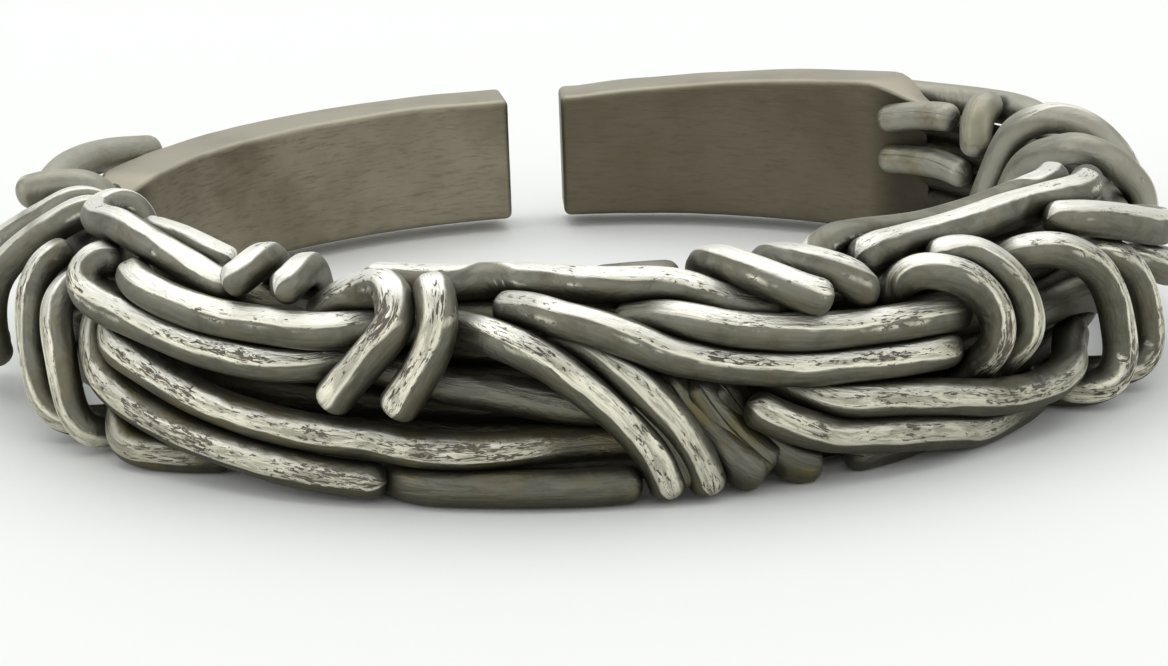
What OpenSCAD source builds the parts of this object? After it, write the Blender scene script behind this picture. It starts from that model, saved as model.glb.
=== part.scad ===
/* [Ring] */
// Distance from the axis to the inside of the plain band
band_inner_r = 9.25; // [9.15:0.05:9.25]
// Thickness of the plain band
band_thick = 1.25; // [1.15:0.05:1.25]
// Height of the lower edge of the plain band
band_low = 0.25; // [0.1:0.05:0.4]
// Height of the upper edge of the plain band at the slit
band_top = 2.9; // [2.9:0.05:3.0]
// Rise of the upper edge from the slit to the right end
band_rise = 0.6; // [0.2:0.1:0.8]
// Bevel along the edges of the band
band_bevel = 0.12; // [0.05:0.01:0.2]

/* [Slit] */
// Angle of the slit, counted from the front towards the right
slit_angle = 185.5; // [175:0.5:190]
// Width of the slit
slit_w = 1.2; // [0.8:0.1:1.6]

/* [Wire] */
// Thickness of the woven wire
wire_d = 0.62; // [0.5:0.01:0.62]
// Thickness of the core wires that join the two halves of the band
core_d = 0.56; // [0.55:0.01:0.56]
// Distance from the axis to the core wires
core_r = 10.0; // [9.98:0.01:10.02]
// Height of the lowest core wire
core_low = 0.97; // [0.96:0.01:0.98]
// Height from one core wire to the next, a little under their thickness so that they are soldered together
core_pitch = 0.54; // [0.53:0.01:0.54]

/* [Hidden] */

// Where the band ends and the weave begins, counted from the front
band_left_end = -112;
band_right_end = 139;
// Columns of the core: place counted upwards from the lowest wire, first angle, last angle
PLACE = 0;
FIRST_ANGLE = 1;
LAST_ANGLE = 2;
// All but the uppermost run into the band at both ends
core_rows = [
    [0, -118, 145],
    [1, -118, 145],
    [2, -118, 145],
    [3, -118, 145],
    [4, -86, 85]
];
// Half of the slit, in degrees
slit_half = asin(slit_w / 2 / (band_inner_r + band_thick / 2));
// Sides of a full turn of the band, and of the section of a core wire
turn_sides = 180;
core_sides = 24;
// Number of sides of a meshed wire
wire_sides = 6;
// A direction that no wire runs along, to start the sides of its mesh from
first_side = [0.31, 0.27, 0.91];
// Greatest distance between the rings of a meshed wire
ring_step = 0.55;
// How far a rounded wire end reaches past its last row, and how wide it is there
end_reach = 0.16;
end_width = 0.6;

// Columns of every route: degrees from the front towards the right, height, distance from the axis
ANGLE = 0;
HEIGHT = 1;
RADIUS = 2;

// Left pair of barbs, bent over the top edge at the front
barb_left_a_route = [
    [-26.6, 3.16, 10.62],
    [-24.2, 3.52, 10.60],
    [-21.2, 3.78, 10.68],
    [-18.8, 3.90, 10.92],
    [-17.3, 3.76, 11.25],
    [-17.1, 3.42, 11.40],
    [-18.4, 3.02, 11.42],
    [-20.3, 2.60, 11.42],
    [-22.1, 2.22, 11.44],
    [-23.5, 1.88, 11.48]
];
barb_left_b_route = [
    [-14.3, 3.90, 10.85],
    [-13.6, 3.88, 11.15],
    [-13.1, 3.60, 11.38],
    [-13.2, 3.28, 11.42],
    [-13.7, 2.92, 11.42],
    [-14.8, 2.52, 11.42],
    [-16.1, 2.14, 11.46],
    [-17.2, 1.82, 11.50]
];
// Small pair of barbs at the top left, coming over the edge from inside
barb_far_left_a_route = [
    [-36.5, 2.60, 9.38],
    [-36.0, 3.30, 9.42],
    [-35.0, 3.85, 9.80],
    [-33.6, 4.08, 10.35],
    [-33.3, 4.06, 10.80],
    [-33.6, 3.93, 11.12],
    [-34.5, 3.80, 11.38]
];
barb_far_left_b_route = [
    [-31.6, 2.60, 9.38],
    [-31.0, 3.30, 9.42],
    [-30.0, 3.78, 9.80],
    [-28.7, 3.98, 10.35],
    [-28.3, 3.97, 10.80],
    [-28.3, 3.87, 11.12],
    [-28.8, 3.78, 11.38]
];
// Right pair of barbs, coming over the edge from inside
barb_right_a_route = [
    [14.0, 2.90, 9.38],
    [13.6, 3.46, 9.40],
    [13.3, 3.86, 9.65],
    [14.0, 4.00, 10.10],
    [16.0, 3.94, 10.68],
    [18.0, 3.80, 11.05],
    [20.2, 3.62, 11.33],
    [22.2, 3.48, 11.42]
];
barb_right_b_route = [
    [20.5, 3.00, 9.38],
    [20.4, 3.50, 9.40],
    [20.4, 3.80, 9.66],
    [20.9, 3.91, 10.15],
    [21.9, 3.95, 10.62],
    [23.5, 3.89, 10.94],
    [25.1, 3.76, 11.20],
    [26.2, 3.58, 11.25],
    [27.0, 3.40, 11.02],
    [27.4, 3.28, 10.80]
];
// Pair of long strands that cross the front from the left
long_strand_upper_route = [
    [-49.6, 3.40, 10.75],
    [-48.0, 3.54, 11.08],
    [-45.0, 3.48, 11.33],
    [-41.0, 3.30, 11.33],
    [-36.0, 3.18, 11.33],
    [-30.0, 3.15, 11.33],
    [-25.0, 3.12, 11.28],
    [-21.0, 3.12, 10.88],
    [-17.0, 3.14, 10.65],
    [-13.0, 3.14, 10.65],
    [-10.3, 3.12, 10.85],
    [-8.0, 3.08, 11.15],
    [-5.4, 2.92, 11.35],
    [-3.0, 2.66, 11.38],
    [-0.5, 2.26, 11.38],
    [2.2, 1.80, 11.38],
    [4.3, 1.35, 11.40],
    [6.1, 0.85, 11.42],
    [7.2, 0.24, 11.42]
];
long_strand_lower_route = [
    [-53.2, 3.60, 10.72],
    [-54.0, 3.66, 11.04],
    [-54.4, 3.42, 11.33],
    [-53.4, 3.12, 11.40],
    [-50.5, 2.95, 11.40],
    [-46.0, 2.82, 11.36],
    [-40.0, 2.62, 11.35],
    [-35.0, 2.50, 11.33],
    [-30.0, 2.45, 11.33],
    [-26.5, 2.45, 11.10],
    [-23.0, 2.43, 10.70],
    [-18.0, 2.30, 10.65],
    [-14.0, 2.08, 10.65],
    [-8.0, 1.92, 10.65],
    [-2.0, 1.70, 10.65],
    [1.0, 1.65, 10.65]
];
// Second strand of the pair that runs down across the front
short_strand_route = [
    [-3.2, 2.94, 10.62],
    [-1.5, 2.92, 10.75],
    [1.4, 2.68, 10.98],
    [4.1, 2.32, 11.29],
    [6.2, 1.90, 11.38],
    [8.2, 1.42, 11.40],
    [9.8, 0.85, 11.42],
    [10.8, 0.24, 11.40]
];
// Pair along the top edge at the left, bent inwards at its left end
top_left_strand_a_route = [
    [-60.3, 2.90, 9.38],
    [-60.8, 3.60, 9.40],
    [-61.6, 4.10, 9.55],
    [-62.4, 4.24, 9.88],
    [-61.4, 4.16, 10.30],
    [-57.5, 4.20, 10.60],
    [-53.0, 4.25, 10.65],
    [-49.4, 4.12, 10.65],
    [-45.4, 3.95, 10.65],
    [-41.6, 3.76, 10.65],
    [-39.0, 3.60, 10.66],
    [-37.0, 3.52, 10.66]
];
top_left_strand_b_route = [
    [-55.6, 2.90, 9.38],
    [-55.8, 3.40, 9.40],
    [-55.3, 3.82, 9.65],
    [-52.5, 4.02, 9.98],
    [-47.4, 4.00, 10.00],
    [-43.0, 3.86, 10.00],
    [-40.0, 3.75, 10.00]
];
// Pair along the top edge at the front
top_front_strand_a_route = [
    [-22.5, 3.75, 9.95],
    [-19.0, 3.77, 10.00],
    [-14.0, 3.78, 9.98],
    [-10.5, 3.80, 9.88],
    [-7.0, 3.82, 9.92],
    [-3.0, 3.83, 10.15],
    [2.0, 3.82, 10.42],
    [7.0, 3.80, 10.48],
    [10.0, 3.70, 10.58],
    [13.0, 3.46, 10.66],
    [16.0, 3.27, 10.69],
    [19.0, 3.19, 10.66]
];
top_front_strand_b_route = [
    [1.5, 3.66, 9.70],
    [4.0, 3.70, 9.78],
    [7.0, 3.72, 9.82],
    [9.6, 3.72, 9.86]
];
// Pair from the front to the right, under the first hook
right_strand_upper_route = [
    [3.6, 3.20, 10.64],
    [5.4, 3.24, 10.75],
    [7.6, 3.29, 10.94],
    [10.0, 3.25, 11.18],
    [13.0, 3.12, 11.33],
    [16.0, 3.00, 11.33],
    [20.0, 2.88, 11.33],
    [25.0, 2.82, 11.33],
    [30.0, 2.78, 11.33],
    [35.0, 2.70, 11.15],
    [39.0, 2.50, 10.70]
];
right_strand_lower_route = [
    [-7.8, 3.46, 10.50],
    [-6.8, 3.48, 10.60],
    [-4.5, 3.50, 10.88],
    [-2.0, 3.44, 11.22],
    [1.0, 3.30, 11.36],
    [4.0, 3.07, 11.39],
    [7.0, 2.77, 11.36],
    [10.0, 2.59, 11.33],
    [15.0, 2.37, 11.33],
    [20.0, 2.24, 11.33],
    [25.0, 2.17, 11.33],
    [30.0, 2.11, 11.33],
    [35.0, 2.02, 11.15],
    [38.0, 1.85, 10.70]
];
// First pair of hooks at the right
right_hook_a_route = [
    [31.4, 3.08, 10.68],
    [31.8, 3.38, 10.86],
    [32.9, 3.60, 11.16],
    [34.5, 3.58, 11.37],
    [37.3, 3.35, 11.42],
    [39.8, 2.94, 11.42],
    [41.2, 2.50, 11.42],
    [41.5, 2.05, 11.38],
    [41.2, 1.68, 11.15],
    [40.6, 1.35, 10.78],
    [40.0, 1.05, 10.66]
];
right_hook_b_route = [
    [36.4, 3.68, 10.80],
    [38.0, 3.72, 10.85],
    [40.2, 3.66, 11.02],
    [42.4, 3.38, 11.22],
    [44.3, 2.94, 11.35],
    [45.5, 2.46, 11.38],
    [45.9, 2.00, 11.35],
    [45.5, 1.64, 11.10],
    [45.0, 1.32, 10.75],
    [44.4, 1.05, 10.66]
];
// Second pair of hooks at the right, down to the bottom edge
far_right_hook_a_route = [
    [45.8, 3.15, 10.62],
    [46.8, 3.36, 10.90],
    [48.6, 3.42, 11.20],
    [51.0, 3.32, 11.42],
    [53.6, 3.05, 11.56],
    [55.8, 2.66, 11.66],
    [57.6, 2.10, 11.70],
    [58.6, 1.50, 11.72],
    [58.7, 0.95, 11.74],
    [57.7, 0.55, 11.64],
    [56.4, 0.38, 11.25],
    [55.4, 0.36, 10.60],
    [54.9, 0.36, 10.05],
    [54.7, 0.42, 9.64],
    [54.5, 0.76, 9.42],
    [54.3, 1.30, 9.38],
    [54.3, 2.20, 9.38]
];
far_right_hook_b_route = [
    [56.5, 2.96, 10.68],
    [58.4, 2.98, 11.05],
    [60.4, 2.84, 11.38],
    [62.4, 2.50, 11.60],
    [64.2, 1.95, 11.72],
    [65.4, 1.35, 11.75],
    [65.5, 0.82, 11.75],
    [64.4, 0.48, 11.58],
    [63.0, 0.37, 11.10],
    [61.9, 0.36, 10.45],
    [61.4, 0.36, 10.00],
    [61.1, 0.42, 9.64],
    [60.8, 0.76, 9.42],
    [60.3, 1.40, 9.38],
    [60.0, 2.20, 9.38]
];
// Strands along the top edge at the right
top_right_strand_a_route = [
    [28.8, 3.82, 10.42],
    [31.0, 3.88, 10.32],
    [34.0, 3.86, 10.20],
    [38.0, 3.87, 10.15],
    [42.0, 3.90, 10.20],
    [46.0, 3.94, 10.28],
    [51.0, 3.97, 10.34],
    [56.0, 3.98, 10.57],
    [60.0, 3.96, 10.74],
    [64.0, 3.95, 10.65]
];
top_right_strand_b_route = [
    [24.3, 3.76, 9.95],
    [27.4, 4.02, 9.80],
    [31.0, 4.00, 9.66],
    [35.0, 3.92, 9.53],
    [41.0, 3.82, 9.50],
    [47.0, 3.82, 9.58],
    [54.0, 3.92, 9.80],
    [60.0, 4.00, 10.05],
    [64.5, 4.00, 9.95]
];
// Lower pair at the right
low_right_strand_upper_route = [
    [18.0, 2.00, 10.62],
    [20.5, 1.74, 10.85],
    [23.2, 1.55, 11.18],
    [26.0, 1.48, 11.33],
    [30.0, 1.37, 11.33],
    [35.0, 1.20, 11.33],
    [40.0, 1.00, 11.36],
    [45.0, 0.88, 11.38],
    [49.0, 0.88, 11.38],
    [52.5, 1.05, 11.33],
    [55.5, 1.20, 11.00],
    [59.5, 1.30, 10.66]
];
low_right_strand_lower_route = [
    [15.3, 1.60, 11.28],
    [17.2, 1.38, 11.33],
    [20.0, 1.12, 11.36],
    [23.0, 0.91, 11.33],
    [26.0, 0.83, 11.33],
    [30.0, 0.72, 11.33],
    [35.0, 0.56, 11.28],
    [40.0, 0.37, 11.10],
    [47.0, 0.36, 10.84],
    [51.0, 0.36, 10.62]
];
// Short strand under the lower pair
low_right_rim_strand_route = [
    [26.0, 0.36, 10.88],
    [29.0, 0.36, 10.80],
    [33.0, 0.36, 10.66],
    [38.0, 0.36, 10.45]
];
// Pair of worn strands that slant down to the bottom edge right of the front
low_slant_a_route = [
    [7.4, 2.04, 10.66],
    [9.1, 1.62, 10.68],
    [11.0, 1.20, 10.80],
    [12.8, 0.82, 11.00],
    [14.5, 0.48, 11.14],
    [15.6, 0.34, 11.14]
];
low_slant_b_route = [
    [12.7, 1.88, 10.66],
    [14.5, 1.44, 10.66],
    [16.4, 1.02, 10.74],
    [18.3, 0.64, 10.86],
    [20.1, 0.40, 10.98],
    [21.5, 0.34, 10.92]
];
// Pair of hooks at the left, down to the bottom edge
left_hook_a_route = [
    [-65.0, 3.36, 10.76],
    [-65.0, 3.20, 11.12],
    [-64.5, 2.85, 11.44],
    [-63.6, 2.38, 11.63],
    [-62.7, 1.80, 11.70],
    [-61.8, 1.22, 11.70],
    [-60.5, 0.74, 11.66],
    [-58.9, 0.44, 11.42],
    [-57.5, 0.36, 10.85],
    [-56.6, 0.36, 10.05],
    [-56.2, 0.42, 9.64],
    [-55.9, 0.76, 9.42],
    [-55.4, 1.40, 9.38],
    [-55.2, 1.90, 9.38]
];
left_hook_b_route = [
    [-61.4, 2.90, 10.72],
    [-60.9, 2.86, 11.02],
    [-59.8, 2.66, 11.36],
    [-58.3, 2.32, 11.58],
    [-56.8, 1.86, 11.68],
    [-55.7, 1.28, 11.72],
    [-54.6, 0.76, 11.70],
    [-53.5, 0.44, 11.50],
    [-53.0, 0.36, 10.86],
    [-52.5, 0.36, 10.05],
    [-52.1, 0.42, 9.64],
    [-51.8, 0.76, 9.42],
    [-51.4, 1.40, 9.38],
    [-51.2, 2.00, 9.38]
];
// Bundle at the lower left
low_left_strand_a_route = [
    [-56.2, 2.50, 10.80],
    [-55.4, 2.18, 11.02],
    [-53.8, 1.82, 11.22],
    [-51.6, 1.52, 11.34],
    [-48.5, 1.28, 11.38],
    [-45.0, 1.10, 11.38],
    [-40.0, 0.88, 11.38],
    [-35.0, 0.73, 11.38],
    [-30.0, 0.60, 11.40],
    [-25.0, 0.50, 11.42],
    [-21.6, 0.46, 11.38]
];
low_left_strand_b_route = [
    [-52.0, 2.46, 11.00],
    [-49.6, 2.20, 11.30],
    [-46.0, 2.00, 11.33],
    [-42.0, 1.78, 11.33],
    [-38.0, 1.57, 11.33],
    [-34.0, 1.42, 11.33],
    [-30.0, 1.31, 11.33],
    [-25.0, 1.22, 11.33],
    [-20.0, 1.18, 11.33],
    [-15.0, 1.06, 11.33],
    [-10.0, 1.02, 11.25],
    [-5.0, 1.04, 11.00],
    [0.0, 1.00, 10.68],
    [5.0, 1.00, 10.65]
];
low_left_strand_c_route = [
    [-52.6, 1.26, 10.64],
    [-51.4, 0.95, 10.92],
    [-49.6, 0.68, 11.28],
    [-47.8, 0.43, 11.44],
    [-45.0, 0.36, 11.36],
    [-41.5, 0.36, 11.05],
    [-38.5, 0.36, 10.70]
];
// Strand along the very bottom of the front
bottom_strand_route = [
    [-33.0, 0.36, 10.50],
    [-28.0, 0.36, 10.62],
    [-23.0, 0.36, 10.62],
    [-19.4, 0.36, 10.78],
    [-17.2, 0.37, 11.10],
    [-14.8, 0.38, 11.32],
    [-11.0, 0.38, 11.38],
    [-5.0, 0.38, 11.40],
    [0.0, 0.38, 11.38],
    [3.3, 0.38, 11.32]
];
// Wraps over the top edge at the left side
left_wrap_a_route = [
    [-65.8, 2.60, 9.38],
    [-66.2, 3.30, 9.40],
    [-67.0, 3.78, 9.64],
    [-68.2, 3.92, 10.10],
    [-69.0, 3.70, 10.60],
    [-70.6, 3.34, 11.08],
    [-72.6, 2.90, 11.48],
    [-75.0, 2.35, 11.70],
    [-77.0, 1.75, 11.76],
    [-78.6, 1.10, 11.72],
    [-79.6, 0.66, 11.62]
];
left_wrap_b_route = [
    [-70.8, 2.60, 9.38],
    [-71.2, 3.34, 9.40],
    [-71.8, 3.80, 9.64],
    [-72.8, 3.92, 10.10],
    [-73.9, 3.66, 10.60],
    [-75.2, 3.36, 11.08],
    [-77.0, 3.00, 11.48],
    [-79.4, 2.46, 11.70],
    [-81.4, 1.86, 11.76],
    [-83.2, 1.12, 11.72],
    [-84.2, 0.66, 11.62]
];
left_wrap_c_route = [
    [-95.0, 1.50, 9.38],
    [-94.6, 2.40, 9.38],
    [-94.2, 3.02, 9.44],
    [-93.6, 3.34, 9.80],
    [-93.0, 3.40, 10.25],
    [-92.6, 3.40, 10.58],
    [-92.4, 3.34, 10.88]
];
// Strands along the left side, fixed to the outside of the band
left_side_strand_a_route = [
    [-66.0, 2.55, 10.65],
    [-74.0, 2.60, 10.65],
    [-84.0, 2.60, 10.65],
    [-90.0, 2.62, 10.65],
    [-94.0, 2.76, 10.66],
    [-97.5, 2.94, 10.70],
    [-101.0, 3.08, 10.78],
    [-106.0, 3.12, 10.88],
    [-112.0, 3.06, 10.95],
    [-118.0, 2.94, 10.92],
    [-125.0, 2.72, 10.90]
];
left_side_strand_b_route = [
    [-63.0, 1.90, 10.65],
    [-74.0, 1.96, 10.65],
    [-84.0, 1.97, 10.65],
    [-91.0, 1.99, 10.66],
    [-97.0, 2.16, 10.82],
    [-103.0, 2.38, 10.92],
    [-110.0, 2.34, 10.95],
    [-116.0, 2.18, 10.92]
];
left_side_strand_c_route = [
    [-58.0, 1.20, 10.65],
    [-66.0, 1.26, 10.65],
    [-78.0, 1.32, 10.65],
    [-88.0, 1.33, 10.65],
    [-97.0, 1.44, 10.84],
    [-106.0, 1.52, 10.95],
    [-114.0, 1.34, 10.92]
];
left_side_strand_d_route = [
    [-69.0, 0.60, 10.65],
    [-74.0, 0.64, 10.65],
    [-82.0, 0.69, 10.65],
    [-92.0, 0.70, 10.66],
    [-101.0, 0.80, 10.90],
    [-110.0, 0.74, 10.95],
    [-117.0, 0.60, 10.90]
];
// Wraps over the top edge at the right side
right_wrap_a_route = [
    [113.5, 1.20, 9.38],
    [110.5, 1.80, 9.38],
    [106.5, 2.48, 9.38],
    [101.5, 2.92, 9.40],
    [97.0, 3.20, 9.56],
    [94.0, 3.38, 9.88],
    [93.0, 3.32, 10.24],
    [93.2, 3.12, 10.60],
    [93.8, 2.84, 10.92],
    [94.4, 2.45, 11.22],
    [94.8, 1.80, 11.32],
    [95.0, 1.20, 11.30],
    [95.0, 0.80, 11.30]
];
right_wrap_b_route = [
    [118.5, 0.90, 9.38],
    [117.0, 1.50, 9.38],
    [114.0, 2.24, 9.38],
    [111.0, 2.86, 9.38],
    [108.0, 3.30, 9.46],
    [105.0, 3.58, 9.76],
    [102.8, 3.62, 10.14],
    [101.4, 3.46, 10.52],
    [100.6, 3.12, 10.88],
    [100.2, 2.66, 11.18],
    [99.8, 2.10, 11.30],
    [99.4, 1.40, 11.30],
    [99.4, 0.90, 11.30]
];
right_wrap_c_route = [
    [118.6, 2.50, 9.38],
    [119.2, 2.92, 9.44],
    [120.3, 3.18, 9.66],
    [121.8, 3.26, 10.00],
    [123.0, 3.18, 10.20]
];
// Strands along the right side, fixed to the outside of the band
right_side_strand_a_route = [
    [52.5, 3.80, 11.02],
    [56.0, 3.70, 11.26],
    [60.0, 3.49, 11.52],
    [65.0, 3.18, 11.70],
    [70.0, 2.90, 11.74],
    [75.0, 2.68, 11.58],
    [79.5, 2.50, 11.16],
    [84.0, 2.28, 10.76],
    [90.0, 2.10, 10.65],
    [96.0, 2.09, 10.65],
    [102.0, 2.18, 10.65],
    [107.5, 2.54, 10.66],
    [112.5, 2.84, 10.70],
    [118.0, 3.00, 10.78],
    [123.0, 3.01, 10.88],
    [128.0, 2.96, 10.90],
    [134.0, 2.90, 10.90],
    [142.0, 2.84, 10.90]
];
right_side_strand_b_route = [
    [64.6, 2.56, 10.80],
    [66.2, 2.50, 11.08],
    [68.0, 2.36, 11.42],
    [70.5, 2.12, 11.66],
    [74.0, 1.88, 11.74],
    [79.0, 1.68, 11.56],
    [84.0, 1.54, 11.10],
    [89.0, 1.46, 10.74],
    [96.0, 1.45, 10.65],
    [102.0, 1.53, 10.65],
    [107.0, 1.76, 10.65],
    [112.5, 2.12, 10.66],
    [118.0, 2.26, 10.75],
    [130.0, 2.22, 10.90],
    [140.0, 2.14, 10.90]
];
right_side_strand_c_route = [
    [49.0, 2.02, 10.65],
    [55.0, 1.98, 10.65],
    [60.0, 1.94, 10.65],
    [66.0, 1.72, 10.65],
    [74.0, 1.22, 10.65],
    [84.0, 0.84, 10.65],
    [96.0, 0.80, 10.65],
    [102.0, 0.86, 10.65],
    [108.0, 1.14, 10.65],
    [114.0, 1.47, 10.68],
    [120.0, 1.58, 10.75],
    [132.0, 1.52, 10.90],
    [141.0, 1.44, 10.90]
];
right_side_strand_d_route = [
    [110.0, 0.50, 10.65],
    [114.0, 0.80, 10.68],
    [120.0, 0.92, 10.75],
    [132.0, 0.78, 10.90],
    [142.0, 0.65, 10.90]
];
// Short strands inside, between the right end of the band and the wraps
inner_right_strand_a_route = [
    [136.0, 2.72, 9.38],
    [131.0, 2.90, 9.38],
    [127.0, 3.00, 9.38],
    [124.2, 3.04, 9.38]
];
inner_right_strand_b_route = [
    [136.0, 1.86, 9.38],
    [131.0, 1.94, 9.38],
    [126.0, 1.98, 9.38],
    [121.6, 1.90, 9.38]
];
// Strand along the lower inside edge of the weave
inner_low_strand_route = [
    [-45.0, 0.36, 9.90],
    [-35.0, 0.36, 9.80],
    [-15.0, 0.36, 9.80],
    [5.0, 0.36, 9.80],
    [25.0, 0.36, 9.80],
    [42.0, 0.36, 9.80],
    [49.0, 0.36, 9.90]
];

function unit(v) = v / norm(v);

function row_point(row) =
    [row[RADIUS] * sin(row[ANGLE]), -row[RADIUS] * cos(row[ANGLE]), row[HEIGHT]];

// Point on a smooth curve between b and c
function between(a, b, c, d, t) =
    0.5 * (2 * b + (c - a) * t + (2 * a - 5 * b + 4 * c - d) * t * t + (3 * b - a - 3 * c + d) * t * t * t);

// Smooth line through the rows of a route
function smooth_line(route) =
    let (
        p = [for (row = route) row_point(row)],
        last = len(p) - 1,
        before = 2 * p[0] - p[1],
        after = 2 * p[last] - p[last - 1]
    )
    concat(
        [
            for (i = [0 : last - 1])
            let (
                a = i == 0 ? before : p[i - 1],
                d = i == last - 1 ? after : p[i + 2],
                steps = max(1, ceil(norm(p[i + 1] - p[i]) / ring_step))
            )
            for (k = [0 : steps - 1])
            between(a, p[i], p[i + 1], d, k / steps)
        ],
        [p[last]]
    );

// Direction of the line at each of its points
function directions(line) =
    let (last = len(line) - 1)
    [for (i = [0 : last]) unit(line[min(i + 1, last)] - line[max(i - 1, 0)])];

// One sideways direction at each point, carried along so that the wire doesn't twist
function turned(side, direction) = unit(side - direction * (side * direction));

function sideways(dirs) = [
    for (
        i = 0, side = turned(first_side, dirs[0]);
        i < len(dirs);
        i = i + 1, side = turned(side, dirs[min(i, len(dirs) - 1)])
    )
    side
];

function ring(centre, direction, side, r) =
    let (other = cross(direction, side))
    [
        for (k = [0 : wire_sides - 1])
        let (turn = 360 * k / wire_sides)
        centre + r * (cos(turn) * side + sin(turn) * other)
    ];

// Round wire along a route, with slightly rounded ends
module wire(route) {
    line = smooth_line(route);
    dirs = directions(line);
    sides = sideways(dirs);
    last = len(line) - 1;
    r = wire_d / 2;
    rings = concat(
        [ring(line[0] - end_reach * dirs[0], dirs[0], sides[0], end_width * r)],
        [for (i = [0 : last]) ring(line[i], dirs[i], sides[i], r)],
        [ring(line[last] + end_reach * dirs[last], dirs[last], sides[last], end_width * r)]
    );
    n = wire_sides;
    count = len(rings);
    points = [for (loop = rings) for (point = loop) point];
    walls = [
        for (i = [0 : count - 2])
        for (k = [0 : n - 1])
        let (
            here = i * n + k,
            next = i * n + (k + 1) % n
        )
        for (face = [[here, here + n, next], [next, here + n, next + n]])
        face
    ];
    first_cap = [for (k = [0 : n - 1]) k];
    last_cap = [for (k = [0 : n - 1]) count * n - 1 - k];
    polyhedron(points = points, faces = concat([first_cap, last_cap], walls));
}

// Stretch of band between two angles, up to a height
module band_stretch(from_angle, to_angle, top) {
    outer = band_inner_r + band_thick;
    b = band_bevel;
    rotate([0, 0, from_angle - 90])
        rotate_extrude(angle = to_angle - from_angle, $fn = turn_sides)
            polygon([
                [band_inner_r + b, band_low],
                [outer - b, band_low],
                [outer, band_low + b],
                [outer, top - b],
                [outer - b, top],
                [band_inner_r + b, top],
                [band_inner_r, top - b],
                [band_inner_r, band_low + b]
            ]);
}

module core_wire(row) {
    rotate([0, 0, row[FIRST_ANGLE] - 90])
        rotate_extrude(angle = row[LAST_ANGLE] - row[FIRST_ANGLE], $fn = turn_sides)
            translate([core_r, core_low + row[PLACE] * core_pitch])
                circle(d = core_d, $fn = core_sides);
}

// Plain band with its slit, and the core wires that carry the weave
module shank() {
    color("silver") {
        band_stretch(slit_angle + slit_half - 360, band_left_end, band_top);
        difference() {
            band_stretch(band_right_end, slit_angle - slit_half, band_top + band_rise);
            slope = atan(band_rise / (band_inner_r * sin(band_right_end)));
            translate([0, 0, band_top])
                rotate([0, -slope, 0])
                    translate([-2 * band_inner_r, 0, 0])
                        cube([4 * band_inner_r, 2 * band_inner_r, 2 * band_rise]);
        }
        for (row = core_rows)
            core_wire(row);
    }
}

module barb_left_a() { color("gainsboro") wire(barb_left_a_route); }
module barb_left_b() { color("gainsboro") wire(barb_left_b_route); }
module barb_far_left_a() { color("gainsboro") wire(barb_far_left_a_route); }
module barb_far_left_b() { color("gainsboro") wire(barb_far_left_b_route); }
module barb_right_a() { color("gainsboro") wire(barb_right_a_route); }
module barb_right_b() { color("gainsboro") wire(barb_right_b_route); }
module long_strand_upper() { color("silver") wire(long_strand_upper_route); }
module long_strand_lower() { color("silver") wire(long_strand_lower_route); }
module short_strand() { color("silver") wire(short_strand_route); }
module top_left_strand_a() { color("silver") wire(top_left_strand_a_route); }
module top_left_strand_b() { color("silver") wire(top_left_strand_b_route); }
module top_front_strand_a() { color("silver") wire(top_front_strand_a_route); }
module top_front_strand_b() { color("silver") wire(top_front_strand_b_route); }
module right_strand_upper() { color("silver") wire(right_strand_upper_route); }
module right_strand_lower() { color("silver") wire(right_strand_lower_route); }
module right_hook_a() { color("gainsboro") wire(right_hook_a_route); }
module right_hook_b() { color("gainsboro") wire(right_hook_b_route); }
module far_right_hook_a() { color("gainsboro") wire(far_right_hook_a_route); }
module far_right_hook_b() { color("gainsboro") wire(far_right_hook_b_route); }
module top_right_strand_a() { color("silver") wire(top_right_strand_a_route); }
module top_right_strand_b() { color("silver") wire(top_right_strand_b_route); }
module low_right_strand_upper() { color("silver") wire(low_right_strand_upper_route); }
module low_right_strand_lower() { color("silver") wire(low_right_strand_lower_route); }
module low_right_rim_strand() { color("darkgray") wire(low_right_rim_strand_route); }
module low_slant_a() { color("darkgray") wire(low_slant_a_route); }
module low_slant_b() { color("darkgray") wire(low_slant_b_route); }
module left_hook_a() { color("gainsboro") wire(left_hook_a_route); }
module left_hook_b() { color("gainsboro") wire(left_hook_b_route); }
module low_left_strand_a() { color("silver") wire(low_left_strand_a_route); }
module low_left_strand_b() { color("silver") wire(low_left_strand_b_route); }
module low_left_strand_c() { color("silver") wire(low_left_strand_c_route); }
module bottom_strand() { color("darkgray") wire(bottom_strand_route); }
module left_wrap_a() { color("gainsboro") wire(left_wrap_a_route); }
module left_wrap_b() { color("gainsboro") wire(left_wrap_b_route); }
module left_wrap_c() { color("gainsboro") wire(left_wrap_c_route); }
module left_side_strand_a() { color("silver") wire(left_side_strand_a_route); }
module left_side_strand_b() { color("silver") wire(left_side_strand_b_route); }
module left_side_strand_c() { color("silver") wire(left_side_strand_c_route); }
module left_side_strand_d() { color("silver") wire(left_side_strand_d_route); }
module right_wrap_a() { color("gainsboro") wire(right_wrap_a_route); }
module right_wrap_b() { color("gainsboro") wire(right_wrap_b_route); }
module right_wrap_c() { color("gainsboro") wire(right_wrap_c_route); }
module right_side_strand_a() { color("silver") wire(right_side_strand_a_route); }
module right_side_strand_b() { color("silver") wire(right_side_strand_b_route); }
module right_side_strand_c() { color("silver") wire(right_side_strand_c_route); }
module right_side_strand_d() { color("silver") wire(right_side_strand_d_route); }
module inner_right_strand_a() { color("silver") wire(inner_right_strand_a_route); }
module inner_right_strand_b() { color("darkgray") wire(inner_right_strand_b_route); }
module inner_low_strand() { color("darkgray") wire(inner_low_strand_route); }

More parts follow.
